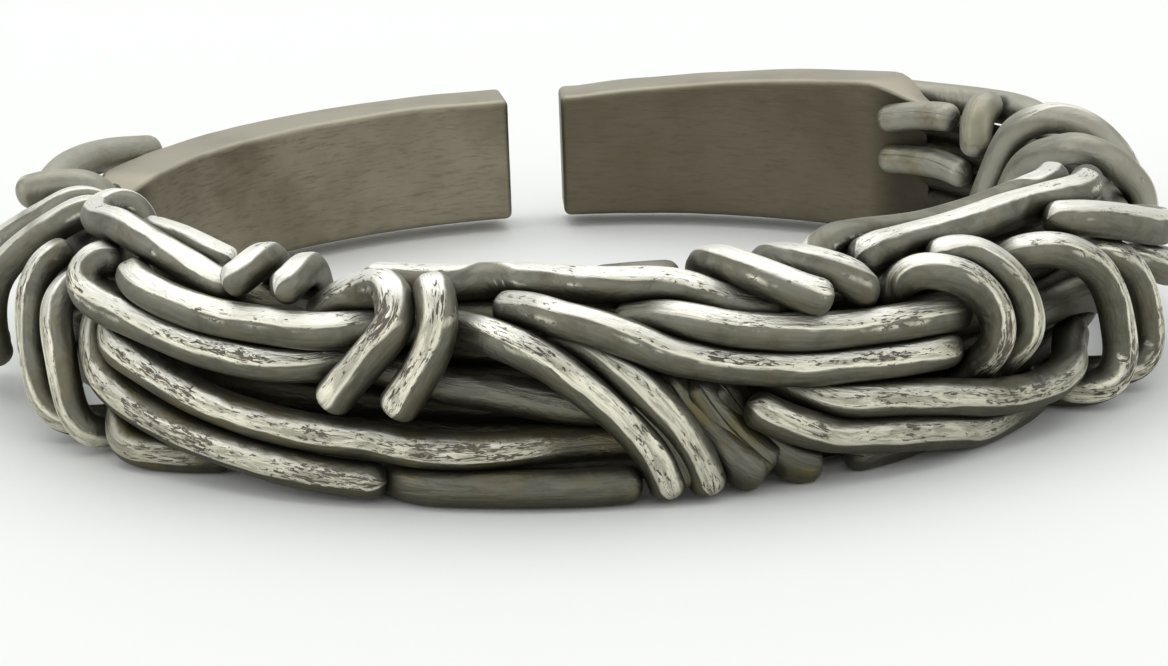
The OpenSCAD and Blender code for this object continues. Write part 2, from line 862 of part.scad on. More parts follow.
shank();
barb_left_a();
barb_left_b();
barb_far_left_a();
barb_far_left_b();
barb_right_a();
barb_right_b();
long_strand_upper();
long_strand_lower();
short_strand();
top_left_strand_a();
top_left_strand_b();
top_front_strand_a();
top_front_strand_b();
right_strand_upper();
right_strand_lower();
right_hook_a();
right_hook_b();
far_right_hook_a();
far_right_hook_b();
top_right_strand_a();
top_right_strand_b();
low_right_strand_upper();
low_right_strand_lower();
low_right_rim_strand();
low_slant_a();
low_slant_b();
left_hook_a();
left_hook_b();
low_left_strand_a();
low_left_strand_b();
low_left_strand_c();
bottom_strand();
left_wrap_a();
left_wrap_b();
left_wrap_c();
left_side_strand_a();
left_side_strand_b();
left_side_strand_c();
left_side_strand_d();
right_wrap_a();
right_wrap_b();
right_wrap_c();
right_side_strand_a();
right_side_strand_b();
right_side_strand_c();
right_side_strand_d();
inner_right_strand_a();
inner_right_strand_b();
inner_low_strand();
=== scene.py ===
import math

import bmesh
import bpy
from mathutils import Matrix, Vector, kdtree, noise


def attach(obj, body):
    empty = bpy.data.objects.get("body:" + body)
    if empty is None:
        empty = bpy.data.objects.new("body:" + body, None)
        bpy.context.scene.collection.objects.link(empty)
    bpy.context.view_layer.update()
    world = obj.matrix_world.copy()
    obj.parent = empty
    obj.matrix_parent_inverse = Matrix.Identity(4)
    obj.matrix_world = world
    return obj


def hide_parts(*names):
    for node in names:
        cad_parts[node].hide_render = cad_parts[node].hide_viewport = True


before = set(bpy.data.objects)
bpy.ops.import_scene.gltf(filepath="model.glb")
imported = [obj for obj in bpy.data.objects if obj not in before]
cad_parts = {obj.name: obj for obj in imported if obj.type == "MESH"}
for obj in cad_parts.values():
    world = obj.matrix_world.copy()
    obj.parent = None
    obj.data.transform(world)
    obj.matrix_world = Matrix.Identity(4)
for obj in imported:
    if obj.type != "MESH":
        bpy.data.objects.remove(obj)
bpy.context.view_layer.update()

# Sizes are in millimetres. Angles are in degrees, counted from the front of the ring towards its right.
MM = 0.001
UP = Vector((0, 0, 1))

# The plain band: its upper edge rises towards the right end, and a slit parts it at the back
BAND_INNER, BAND_OUTER = 9.25, 10.50
BAND_LOW, BAND_TOP = 0.25, 2.90
BAND_RISE = 0.60
BAND_LEFT_END, BAND_RIGHT_END = -112.0, 139.0
BAND_ROUNDING = 0.14
# Degrees over which each end of the band is hammered thin under the weave
BAND_TIP = 8.0
SLIT_ANGLE, SLIT_HALF = 185.5, 3.48

# Wires that carry the weave: height, first angle, last angle, thickness, painted shade and dirt, whether the
# ends sink into the band, and how far they dip there
CORE_WIRES = (
    (0.97, -118, 145, 0.62, 0.80, True, 0.0),
    (1.51, -118, 145, 0.62, 0.80, True, 0.0),
    (2.05, -118, 145, 0.62, 0.80, True, 0.0),
    (2.59, -118, 145, 0.62, 0.80, True, 0.16),
    (3.13, -86, 85, 0.68, 0.45, False, 0.0),
)
CORE_RADIUS = 10.0
CORE_ROUNDING = 0.20
# Degrees between the points at which the core wires are known to the wires beside them
CORE_STEP = 0.7

# Wires of the weave: radius, softness of the corner beside a filed flat, distance between their sections,
# and the coarser distance at which the wires beside them are known
WIRE_R = 0.350
WIRE_CORNER = 0.012
SECTION_STEP = 0.085
COARSE_STEP = 0.12
# Distances from the tip at which its rounded end gets a section, and how far tips reach past the last rows
TIP_STATIONS = (0.0, 0.006, 0.025, 0.06, 0.11, 0.18, 0.27)
TIP_LENGTH = TIP_STATIONS[-1]
TIP_REACH = (0.14, 0.14)
FLOOR_GAP = 0.004
# How far the pattern of the metal is shifted from one wire to the next
WIRE_SHIFT, CORE_SHIFT = 13.0, 40.0

# Rows of each wire: degrees from the front towards the right, height, distance from the axis
ROUTES = {
    # Left pair of barbs, bent over the top edge at the front
    "barb_left_a": [
        (-26.6, 3.16, 10.62), (-24.2, 3.52, 10.60), (-21.2, 3.78, 10.68), (-18.8, 3.90, 10.92),
        (-17.3, 3.76, 11.25), (-17.1, 3.42, 11.40), (-18.4, 3.02, 11.42), (-20.3, 2.60, 11.42),
        (-22.1, 2.22, 11.44), (-23.5, 1.88, 11.48)],
    "barb_left_b": [
        (-14.3, 3.90, 10.85), (-13.6, 3.88, 11.15), (-13.1, 3.60, 11.38), (-13.2, 3.28, 11.42),
        (-13.7, 2.92, 11.42), (-14.8, 2.52, 11.42), (-16.1, 2.14, 11.46), (-17.2, 1.82, 11.50)],
    # Small pair of barbs at the top left, coming over the edge from inside
    "barb_far_left_a": [
        (-36.5, 2.60, 9.38), (-36.0, 3.30, 9.42), (-35.0, 3.85, 9.80), (-33.6, 4.08, 10.35),
        (-33.3, 4.06, 10.80), (-33.6, 3.93, 11.12), (-34.5, 3.80, 11.38)],
    "barb_far_left_b": [
        (-31.6, 2.60, 9.38), (-31.0, 3.30, 9.42), (-30.0, 3.78, 9.80), (-28.7, 3.98, 10.35),
        (-28.3, 3.97, 10.80), (-28.3, 3.87, 11.12), (-28.8, 3.78, 11.38)],
    # Right pair of barbs, coming over the edge from inside
    "barb_right_a": [
        (14.0, 2.90, 9.38), (13.6, 3.46, 9.40), (13.3, 3.86, 9.65), (14.0, 4.00, 10.10),
        (16.0, 3.94, 10.68), (18.0, 3.80, 11.05), (20.2, 3.62, 11.33), (22.2, 3.48, 11.42)],
    "barb_right_b": [
        (20.5, 3.00, 9.38), (20.4, 3.50, 9.40), (20.4, 3.80, 9.66), (20.9, 3.91, 10.15),
        (21.9, 3.95, 10.62), (23.5, 3.89, 10.94), (25.1, 3.76, 11.20), (26.2, 3.58, 11.25),
        (27.0, 3.40, 11.02), (27.4, 3.28, 10.80)],
    # Pair of long strands that cross the front from the left
    "long_strand_upper": [
        (-49.6, 3.40, 10.75), (-48.0, 3.54, 11.08), (-45.0, 3.48, 11.33), (-41.0, 3.30, 11.33),
        (-36.0, 3.18, 11.33), (-30.0, 3.15, 11.33), (-25.0, 3.12, 11.28), (-21.0, 3.12, 10.88),
        (-17.0, 3.14, 10.65), (-13.0, 3.14, 10.65), (-10.3, 3.12, 10.85), (-8.0, 3.08, 11.15),
        (-5.4, 2.92, 11.35), (-3.0, 2.66, 11.38), (-0.5, 2.26, 11.38), (2.2, 1.80, 11.38),
        (4.3, 1.35, 11.40), (6.1, 0.85, 11.42), (7.2, 0.24, 11.42)],
    "long_strand_lower": [
        (-53.2, 3.60, 10.72), (-54.0, 3.66, 11.04), (-54.4, 3.42, 11.33), (-53.4, 3.12, 11.40),
        (-50.5, 2.95, 11.40), (-46.0, 2.82, 11.36), (-40.0, 2.62, 11.35), (-35.0, 2.50, 11.33),
        (-30.0, 2.45, 11.33), (-26.5, 2.45, 11.10), (-23.0, 2.43, 10.70), (-18.0, 2.30, 10.65),
        (-14.0, 2.08, 10.65), (-8.0, 1.92, 10.65), (-2.0, 1.70, 10.65), (1.0, 1.65, 10.65)],
    # Second strand of the pair that runs down across the front
    "short_strand": [
        (-3.2, 2.94, 10.62), (-1.5, 2.92, 10.75), (1.4, 2.68, 10.98), (4.1, 2.32, 11.29),
        (6.2, 1.90, 11.38), (8.2, 1.42, 11.40), (9.8, 0.85, 11.42), (10.8, 0.24, 11.40)],
    # Pair along the top edge at the left, bent inwards at its left end
    "top_left_strand_a": [
        (-60.3, 2.90, 9.38), (-60.8, 3.60, 9.40), (-61.6, 4.10, 9.55), (-62.4, 4.24, 9.88),
        (-61.4, 4.16, 10.30), (-57.5, 4.20, 10.60), (-53.0, 4.25, 10.65), (-49.4, 4.12, 10.65),
        (-45.4, 3.95, 10.65), (-41.6, 3.76, 10.65), (-39.0, 3.60, 10.66), (-37.0, 3.52, 10.66)],
    "top_left_strand_b": [
        (-55.6, 2.90, 9.38), (-55.8, 3.40, 9.40), (-55.3, 3.82, 9.65), (-52.5, 4.02, 9.98),
        (-47.4, 4.00, 10.00), (-43.0, 3.86, 10.00), (-40.0, 3.75, 10.00)],
    # Pair along the top edge at the front
    "top_front_strand_a": [
        (-22.5, 3.75, 9.95), (-19.0, 3.77, 10.00), (-14.0, 3.78, 9.98), (-10.5, 3.80, 9.88),
        (-7.0, 3.82, 9.92), (-3.0, 3.83, 10.15), (2.0, 3.82, 10.42), (7.0, 3.80, 10.48),
        (10.0, 3.70, 10.58), (13.0, 3.46, 10.66), (16.0, 3.27, 10.69), (19.0, 3.19, 10.66)],
    "top_front_strand_b": [
        (1.5, 3.66, 9.70), (4.0, 3.70, 9.78), (7.0, 3.72, 9.82), (9.6, 3.72, 9.86)],
    # Pair from the front to the right, under the first hook
    "right_strand_upper": [
        (3.6, 3.20, 10.64), (5.4, 3.24, 10.75), (7.6, 3.29, 10.94), (10.0, 3.25, 11.18),
        (13.0, 3.12, 11.33), (16.0, 3.00, 11.33), (20.0, 2.88, 11.33), (25.0, 2.82, 11.33),
        (30.0, 2.78, 11.33), (35.0, 2.70, 11.15), (39.0, 2.50, 10.70)],
    "right_strand_lower": [
        (-7.8, 3.46, 10.50), (-6.8, 3.48, 10.60), (-4.5, 3.50, 10.88), (-2.0, 3.44, 11.22),
        (1.0, 3.30, 11.36), (4.0, 3.07, 11.39), (7.0, 2.77, 11.36), (10.0, 2.59, 11.33),
        (15.0, 2.37, 11.33), (20.0, 2.24, 11.33), (25.0, 2.17, 11.33), (30.0, 2.11, 11.33),
        (35.0, 2.02, 11.15), (38.0, 1.85, 10.70)],
    # First pair of hooks at the right
    "right_hook_a": [
        (31.4, 3.08, 10.68), (31.8, 3.38, 10.86), (32.9, 3.60, 11.16), (34.5, 3.58, 11.37),
        (37.3, 3.35, 11.42), (39.8, 2.94, 11.42), (41.2, 2.50, 11.42), (41.5, 2.05, 11.38),
        (41.2, 1.68, 11.15), (40.6, 1.35, 10.78), (40.0, 1.05, 10.66)],
    "right_hook_b": [
        (36.4, 3.68, 10.80), (38.0, 3.72, 10.85), (40.2, 3.66, 11.02), (42.4, 3.38, 11.22),
        (44.3, 2.94, 11.35), (45.5, 2.46, 11.38), (45.9, 2.00, 11.35), (45.5, 1.64, 11.10),
        (45.0, 1.32, 10.75), (44.4, 1.05, 10.66)],
    # Second pair of hooks at the right, down to the bottom edge
    "far_right_hook_a": [
        (45.8, 3.15, 10.62), (46.8, 3.36, 10.90), (48.6, 3.42, 11.20), (51.0, 3.32, 11.42),
        (53.6, 3.05, 11.56), (55.8, 2.66, 11.66), (57.6, 2.10, 11.70), (58.6, 1.50, 11.72),
        (58.7, 0.95, 11.74), (57.7, 0.55, 11.64), (56.4, 0.38, 11.25), (55.4, 0.36, 10.60),
        (54.9, 0.36, 10.05), (54.7, 0.42, 9.64), (54.5, 0.76, 9.42), (54.3, 1.30, 9.38),
        (54.3, 2.20, 9.38)],
    "far_right_hook_b": [
        (56.5, 2.96, 10.68), (58.4, 2.98, 11.05), (60.4, 2.84, 11.38), (62.4, 2.50, 11.60),
        (64.2, 1.95, 11.72), (65.4, 1.35, 11.75), (65.5, 0.82, 11.75), (64.4, 0.48, 11.58),
        (63.0, 0.37, 11.10), (61.9, 0.36, 10.45), (61.4, 0.36, 10.00), (61.1, 0.42, 9.64),
        (60.8, 0.76, 9.42), (60.3, 1.40, 9.38), (60.0, 2.20, 9.38)],
    # Strands along the top edge at the right
    "top_right_strand_a": [
        (28.8, 3.82, 10.42), (31.0, 3.88, 10.32), (34.0, 3.86, 10.20), (38.0, 3.87, 10.15),
        (42.0, 3.90, 10.20), (46.0, 3.94, 10.28), (51.0, 3.97, 10.34), (56.0, 3.98, 10.57),
        (60.0, 3.96, 10.74), (64.0, 3.95, 10.65)],
    "top_right_strand_b": [
        (24.3, 3.76, 9.95), (27.4, 4.02, 9.80), (31.0, 4.00, 9.66), (35.0, 3.92, 9.53),
        (41.0, 3.82, 9.50), (47.0, 3.82, 9.58), (54.0, 3.92, 9.80), (60.0, 4.00, 10.05),
        (64.5, 4.00, 9.95)],
    # Lower pair at the right
    "low_right_strand_upper": [
        (18.0, 2.00, 10.62), (20.5, 1.74, 10.85), (23.2, 1.55, 11.18), (26.0, 1.48, 11.33),
        (30.0, 1.37, 11.33), (35.0, 1.20, 11.33), (40.0, 1.00, 11.36), (45.0, 0.88, 11.38),
        (49.0, 0.88, 11.38), (52.5, 1.05, 11.33), (55.5, 1.20, 11.00), (59.5, 1.30, 10.66)],
    "low_right_strand_lower": [
        (15.3, 1.60, 11.28), (17.2, 1.38, 11.33), (20.0, 1.12, 11.36), (23.0, 0.91, 11.33),
        (26.0, 0.83, 11.33), (30.0, 0.72, 11.33), (35.0, 0.56, 11.28), (40.0, 0.37, 11.10),
        (47.0, 0.36, 10.84), (51.0, 0.36, 10.62)],
    # Short strand under the lower pair
    "low_right_rim_strand": [
        (26.0, 0.36, 10.88), (29.0, 0.36, 10.80), (33.0, 0.36, 10.66), (38.0, 0.36, 10.45)],
    # Pair of worn strands that slant down to the bottom edge right of the front
    "low_slant_a": [
        (7.4, 2.04, 10.66), (9.1, 1.62, 10.68), (11.0, 1.20, 10.80), (12.8, 0.82, 11.00),
        (14.5, 0.48, 11.14), (15.6, 0.34, 11.14)],
    "low_slant_b": [
        (12.7, 1.88, 10.66), (14.5, 1.44, 10.66), (16.4, 1.02, 10.74), (18.3, 0.64, 10.86),
        (20.1, 0.40, 10.98), (21.5, 0.34, 10.92)],
    # Pair of hooks at the left, down to the bottom edge
    "left_hook_a": [
        (-65.0, 3.36, 10.76), (-65.0, 3.20, 11.12), (-64.5, 2.85, 11.44), (-63.6, 2.38, 11.63),
        (-62.7, 1.80, 11.70), (-61.8, 1.22, 11.70), (-60.5, 0.74, 11.66), (-58.9, 0.44, 11.42),
        (-57.5, 0.36, 10.85), (-56.6, 0.36, 10.05), (-56.2, 0.42, 9.64), (-55.9, 0.76, 9.42),
        (-55.4, 1.40, 9.38), (-55.2, 1.90, 9.38)],
    "left_hook_b": [
        (-61.4, 2.90, 10.72), (-60.9, 2.86, 11.02), (-59.8, 2.66, 11.36), (-58.3, 2.32, 11.58),
        (-56.8, 1.86, 11.68), (-55.7, 1.28, 11.72), (-54.6, 0.76, 11.70), (-53.5, 0.44, 11.50),
        (-53.0, 0.36, 10.86), (-52.5, 0.36, 10.05), (-52.1, 0.42, 9.64), (-51.8, 0.76, 9.42),
        (-51.4, 1.40, 9.38), (-51.2, 2.00, 9.38)],
    # Bundle at the lower left
    "low_left_strand_a": [
        (-56.2, 2.50, 10.80), (-55.4, 2.18, 11.02), (-53.8, 1.82, 11.22), (-51.6, 1.52, 11.34),
        (-48.5, 1.28, 11.38), (-45.0, 1.10, 11.38), (-40.0, 0.88, 11.38), (-35.0, 0.73, 11.38),
        (-30.0, 0.60, 11.40), (-25.0, 0.50, 11.42), (-21.6, 0.46, 11.38)],
    "low_left_strand_b": [
        (-52.0, 2.46, 11.00), (-49.6, 2.20, 11.30), (-46.0, 2.00, 11.33), (-42.0, 1.78, 11.33),
        (-38.0, 1.57, 11.33), (-34.0, 1.42, 11.33), (-30.0, 1.31, 11.33), (-25.0, 1.22, 11.33),
        (-20.0, 1.18, 11.33), (-15.0, 1.06, 11.33), (-10.0, 1.02, 11.25), (-5.0, 1.04, 11.00),
        (0.0, 1.00, 10.68), (5.0, 1.00, 10.65)],
    "low_left_strand_c": [
        (-52.6, 1.26, 10.64), (-51.4, 0.95, 10.92), (-49.6, 0.68, 11.28), (-47.8, 0.43, 11.44),
        (-45.0, 0.36, 11.36), (-41.5, 0.36, 11.05), (-38.5, 0.36, 10.70)],
    # Strand along the very bottom of the front
    "bottom_strand": [
        (-33.0, 0.36, 10.50), (-28.0, 0.36, 10.62), (-23.0, 0.36, 10.62), (-19.4, 0.36, 10.78),
        (-17.2, 0.37, 11.10), (-14.8, 0.38, 11.32), (-11.0, 0.38, 11.38), (-5.0, 0.38, 11.40),
        (0.0, 0.38, 11.38), (3.3, 0.38, 11.32)],
    # Wraps over the top edge at the left side
    "left_wrap_a": [
        (-65.8, 2.60, 9.38), (-66.2, 3.30, 9.40), (-67.0, 3.78, 9.64), (-68.2, 3.92, 10.10),
        (-69.0, 3.70, 10.60), (-70.6, 3.34, 11.08), (-72.6, 2.90, 11.48), (-75.0, 2.35, 11.70),
        (-77.0, 1.75, 11.76), (-78.6, 1.10, 11.72), (-79.6, 0.66, 11.62)],
    "left_wrap_b": [
        (-70.8, 2.60, 9.38), (-71.2, 3.34, 9.40), (-71.8, 3.80, 9.64), (-72.8, 3.92, 10.10),
        (-73.9, 3.66, 10.60), (-75.2, 3.36, 11.08), (-77.0, 3.00, 11.48), (-79.4, 2.46, 11.70),
        (-81.4, 1.86, 11.76), (-83.2, 1.12, 11.72), (-84.2, 0.66, 11.62)],
    "left_wrap_c": [
        (-95.0, 1.50, 9.38), (-94.6, 2.40, 9.38), (-94.2, 3.02, 9.44), (-93.6, 3.34, 9.80),
        (-93.0, 3.40, 10.25), (-92.6, 3.40, 10.58), (-92.4, 3.34, 10.88)],
    # Strands along the left side, fixed to the outside of the band
    "left_side_strand_a": [
        (-66.0, 2.55, 10.65), (-74.0, 2.60, 10.65), (-84.0, 2.60, 10.65), (-90.0, 2.62, 10.65),
        (-94.0, 2.76, 10.66), (-97.5, 2.94, 10.70), (-101.0, 3.08, 10.78), (-106.0, 3.12, 10.88),
        (-112.0, 3.06, 10.95), (-118.0, 2.94, 10.92), (-125.0, 2.72, 10.90)],
    "left_side_strand_b": [
        (-63.0, 1.90, 10.65), (-74.0, 1.96, 10.65), (-84.0, 1.97, 10.65), (-91.0, 1.99, 10.66),
        (-97.0, 2.16, 10.82), (-103.0, 2.38, 10.92), (-110.0, 2.34, 10.95), (-116.0, 2.18, 10.92)],
    "left_side_strand_c": [
        (-58.0, 1.20, 10.65), (-66.0, 1.26, 10.65), (-78.0, 1.32, 10.65), (-88.0, 1.33, 10.65),
        (-97.0, 1.44, 10.84), (-106.0, 1.52, 10.95), (-114.0, 1.34, 10.92)],
    "left_side_strand_d": [
        (-69.0, 0.60, 10.65), (-74.0, 0.64, 10.65), (-82.0, 0.69, 10.65), (-92.0, 0.70, 10.66),
        (-101.0, 0.80, 10.90), (-110.0, 0.74, 10.95), (-117.0, 0.60, 10.90)],
    # Wraps over the top edge at the right side
    "right_wrap_a": [
        (113.5, 1.20, 9.38), (110.5, 1.80, 9.38), (106.5, 2.48, 9.38), (101.5, 2.92, 9.40),
        (97.0, 3.20, 9.56), (94.0, 3.38, 9.88), (93.0, 3.32, 10.24), (93.2, 3.12, 10.60),
        (93.8, 2.84, 10.92), (94.4, 2.45, 11.22), (94.8, 1.80, 11.32), (95.0, 1.20, 11.30),
        (95.0, 0.80, 11.30)],
    "right_wrap_b": [
        (118.5, 0.90, 9.38), (117.0, 1.50, 9.38), (114.0, 2.24, 9.38), (111.0, 2.86, 9.38),
        (108.0, 3.30, 9.46), (105.0, 3.58, 9.76), (102.8, 3.62, 10.14), (101.4, 3.46, 10.52),
        (100.6, 3.12, 10.88), (100.2, 2.66, 11.18), (99.8, 2.10, 11.30), (99.4, 1.40, 11.30),
        (99.4, 0.90, 11.30)],
    "right_wrap_c": [
        (118.6, 2.50, 9.38), (119.2, 2.92, 9.44), (120.3, 3.18, 9.66), (121.8, 3.26, 10.00),
        (123.0, 3.18, 10.20)],
    # Strands along the right side, fixed to the outside of the band
    "right_side_strand_a": [
        (52.5, 3.80, 11.02), (56.0, 3.70, 11.26), (60.0, 3.49, 11.52), (65.0, 3.18, 11.70),
        (70.0, 2.90, 11.74), (75.0, 2.68, 11.58), (79.5, 2.50, 11.16), (84.0, 2.28, 10.76),
        (90.0, 2.10, 10.65), (96.0, 2.09, 10.65), (102.0, 2.18, 10.65), (107.5, 2.54, 10.66),
        (112.5, 2.84, 10.70), (118.0, 3.00, 10.78), (123.0, 3.01, 10.88), (128.0, 2.96, 10.90),
        (134.0, 2.90, 10.90), (142.0, 2.84, 10.90)],
    "right_side_strand_b": [
        (64.6, 2.56, 10.80), (66.2, 2.50, 11.08), (68.0, 2.36, 11.42), (70.5, 2.12, 11.66),
        (74.0, 1.88, 11.74), (79.0, 1.68, 11.56), (84.0, 1.54, 11.10), (89.0, 1.46, 10.74),
        (96.0, 1.45, 10.65), (102.0, 1.53, 10.65), (107.0, 1.76, 10.65), (112.5, 2.12, 10.66),
        (118.0, 2.26, 10.75), (130.0, 2.22, 10.90), (140.0, 2.14, 10.90)],
    "right_side_strand_c": [
        (49.0, 2.02, 10.65), (55.0, 1.98, 10.65), (60.0, 1.94, 10.65), (66.0, 1.72, 10.65),
        (74.0, 1.22, 10.65), (84.0, 0.84, 10.65), (96.0, 0.80, 10.65), (102.0, 0.86, 10.65),
        (108.0, 1.14, 10.65), (114.0, 1.47, 10.68), (120.0, 1.58, 10.75), (132.0, 1.52, 10.90),
        (141.0, 1.44, 10.90)],
    "right_side_strand_d": [
        (110.0, 0.50, 10.65), (114.0, 0.80, 10.68), (120.0, 0.92, 10.75), (132.0, 0.78, 10.90),
        (142.0, 0.65, 10.90)],
    # Short strands inside, between the right end of the band and the wraps
    "inner_right_strand_a": [
        (136.0, 2.72, 9.38), (131.0, 2.90, 9.38), (127.0, 3.00, 9.38), (124.2, 3.04, 9.38)],
    "inner_right_strand_b": [
        (136.0, 1.86, 9.38), (131.0, 1.94, 9.38), (126.0, 1.98, 9.38), (121.6, 1.90, 9.38)],
    # Strand along the lower inside edge of the weave
    "inner_low_strand": [
        (-45.0, 0.36, 9.90), (-35.0, 0.36, 9.80), (-15.0, 0.36, 9.80), (5.0, 0.36, 9.80),
        (25.0, 0.36, 9.80), (42.0, 0.36, 9.80), (49.0, 0.36, 9.90)],
}

# How a wire is worn: depth of the filed flat, how many degrees further up than usual the flat leans, and how
# bright it is rubbed
PLAIN_WEAR = (0.020, 2, 0.85)
WEAR = {
    "barb_left_a": (0.023, 4, 1.0),
    "barb_left_b": (0.023, 2, 1.0),
    "barb_far_left_a": (0.023, 0, 1.0),
    "barb_far_left_b": (0.023, 0, 1.0),
    "barb_right_a": (0.020, 0, 1.0),
    "barb_right_b": (0.017, 0, 0.75),
    "long_strand_upper": (0.021, 4, 1.0),
    "long_strand_lower": (0.019, 2, 0.85),
    "short_strand": (0.020, -4, 0.85),
    "top_left_strand_a": (0.019, 4, 0.95),
    "top_left_strand_b": (0.017, 4, 0.85),
    "top_front_strand_a": (0.019, 0, 0.95),
    "top_front_strand_b": (0.015, 4, 0.8),
    "right_strand_upper": (0.020, 6, 0.95),
    "right_strand_lower": (0.021, 4, 0.95),
    "right_hook_a": (0.026, 2, 1.15),
    "right_hook_b": (0.025, 2, 1.1),
    "far_right_hook_a": (0.026, 2, 1.12),
    "far_right_hook_b": (0.026, 2, 1.12),
    "top_right_strand_a": (0.017, 4, 0.85),
    "top_right_strand_b": (0.017, 4, 0.85),
    "low_right_strand_upper": (0.015, 4, 0.85),
    "low_right_strand_lower": (0.015, 2, 0.85),
    "low_right_rim_strand": (0.008, 0, 0.3),
    "low_slant_a": (0.008, 0, 0.25),
    "low_slant_b": (0.008, 0, 0.25),
    "left_hook_a": (0.024, 0, 1.1),
    "left_hook_b": (0.024, 0, 1.1),
    "low_left_strand_a": (0.016, 2, 0.88),
    "low_left_strand_b": (0.016, 4, 0.92),
    "low_left_strand_c": (0.015, 0, 0.7),
    "bottom_strand": (0.012, 0, 0.22),
    "inner_right_strand_a": (0.007, 0, 0.2),
    "inner_right_strand_b": (0.007, 0, 0.2),
    "inner_low_strand": (0.008, 0, 0.2),
    "solder_on_short_strand": (0.006, 0, 0.0),
    "solder_on_low_slant": (0.006, 0, 0.0),
}
# How thick a wire is against a plain one: hammered thinner, or fatter with solder and dirt
STOUT = {
    "low_slant_a": 1.18, "low_slant_b": 1.18, "low_right_rim_strand": 1.05,
    "barb_left_a": 1.06, "barb_left_b": 1.06, "barb_far_left_a": 0.95, "barb_far_left_b": 0.95,
    "top_left_strand_a": 0.92, "top_left_strand_b": 0.92, "left_hook_a": 0.86, "left_hook_b": 0.88,
    "right_hook_a": 0.96, "right_hook_b": 0.90, "far_right_hook_a": 0.95, "far_right_hook_b": 0.90,
    "inner_right_strand_a": 0.86, "inner_right_strand_b": 0.86,
    "left_wrap_a": 0.92, "left_wrap_b": 0.92, "right_wrap_a": 0.93, "right_wrap_b": 0.93,
    "solder_on_short_strand": 0.78, "solder_on_low_slant": 1.16,
}
# How far the two tips of a wire reach past its rows, where they go on under the wires that cross them
REACH = {
    "right_strand_upper": (0.14, 0.42), "right_strand_lower": (0.14, 0.50),
    "low_left_strand_a": (0.14, 0.60), "bottom_strand": (0.14, 0.30),
    "long_strand_lower": (0.14, 0.35), "low_right_strand_lower": (0.14, 0.40),
    "barb_far_left_a": (0.14, 0.02), "barb_far_left_b": (0.14, 0.02), "left_wrap_c": (0.14, 0.30),
}
# How olive the tarnish of a wire is
PLAIN_PATINA = 0.15
PATINA = {
    "low_slant_a": 1.0, "low_slant_b": 1.0, "low_left_strand_c": 0.8, "low_left_strand_b": 0.5,
    "low_left_strand_a": 0.4, "bottom_strand": 0.45, "left_hook_a": 0.3, "left_hook_b": 0.35,
    "inner_right_strand_a": 0.5, "inner_right_strand_b": 0.5, "right_wrap_c": 0.35,
    "solder_on_short_strand": 0.8, "solder_on_low_slant": 0.65,
}
# Solder that has run into the crease between two wires: the wire it belongs to, and its rows
SOLDER = {
    "solder_on_short_strand": ("short_strand", [
        (4.0, 1.85, 11.26), (6.1, 1.40, 11.30), (7.8, 0.92, 11.34), (8.9, 0.40, 11.34)]),
    "solder_on_low_slant": ("low_slant_b", [
        (10.2, 1.95, 10.68), (11.8, 1.50, 10.72), (13.7, 1.08, 10.84), (15.3, 0.76, 10.98),
        (16.8, 0.48, 11.06)]),
}
# Barbs that only hover over the wires below them, so that no painted shade and dirt is put under them
HOVERING = (
    "barb_left_a", "barb_left_b", "barb_far_left_a", "barb_far_left_b", "barb_right_a", "barb_right_b",
)
# What is marked on the points of a piece for its material to read
WEAR_MARKS = ("filed", "rim", "brow_highlight", "lift", "shade_and_dirt", "rubbed", "patina", "rear_painted_sheen")
BAND_MARKS = ("shade_and_dirt", "lift", "edge", "tarnish")


def ring_point(angle, height, radius):
    a = math.radians(angle)
    return Vector((radius * math.sin(a), -radius * math.cos(a), height))


def angle_of(point):
    return math.degrees(math.atan2(point.x, -point.y))


def ease(x, low, high):
    """Rises smoothly from 0 at low to 1 at high."""
    t = min(1.0, max(0.0, (x - low) / (high - low)))
    return t * t * (3 - 2 * t)


def add_object(name, data):
    thing = bpy.data.objects.new(name, data)
    bpy.context.scene.collection.objects.link(thing)
    return thing


def mesh_object(bm, name):
    """Makes an object of a finished bmesh."""
    mesh = bpy.data.meshes.new(name)
    bm.to_mesh(mesh)
    bm.free()
    return add_object(name, mesh)


def finish_piece(bm, name, node, metal):
    """Makes a piece of a finished bmesh, shown in place of its CAD node."""
    piece = mesh_object(bm, name)
    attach(piece, "root")
    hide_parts(node)
    piece.data.materials.append(metal)


def curve_through(rows):
    """Close points of a smooth curve through the rows."""
    p = [ring_point(*row) for row in rows]
    p = [2 * p[0] - p[1]] + p + [2 * p[-1] - p[-2]]
    fine = []
    for a, b, c, d in zip(p, p[1:], p[2:], p[3:]):
        count = max(2, math.ceil((c - b).length / 0.05))
        for k in range(count):
            t = k / count
            fine.append(0.5 * (2 * b + (c - a) * t + (2 * a - 5 * b + 4 * c - d) * t * t
                               + (3 * b - a - 3 * c + d) * t ** 3))
    fine.append(p[-2])
    for _ in range(14):
        between = [(a + 2 * b + c) / 4 for a, b, c in zip(fine, fine[1:], fine[2:])]
        fine = [fine[0], *between, fine[-1]]
    return fine


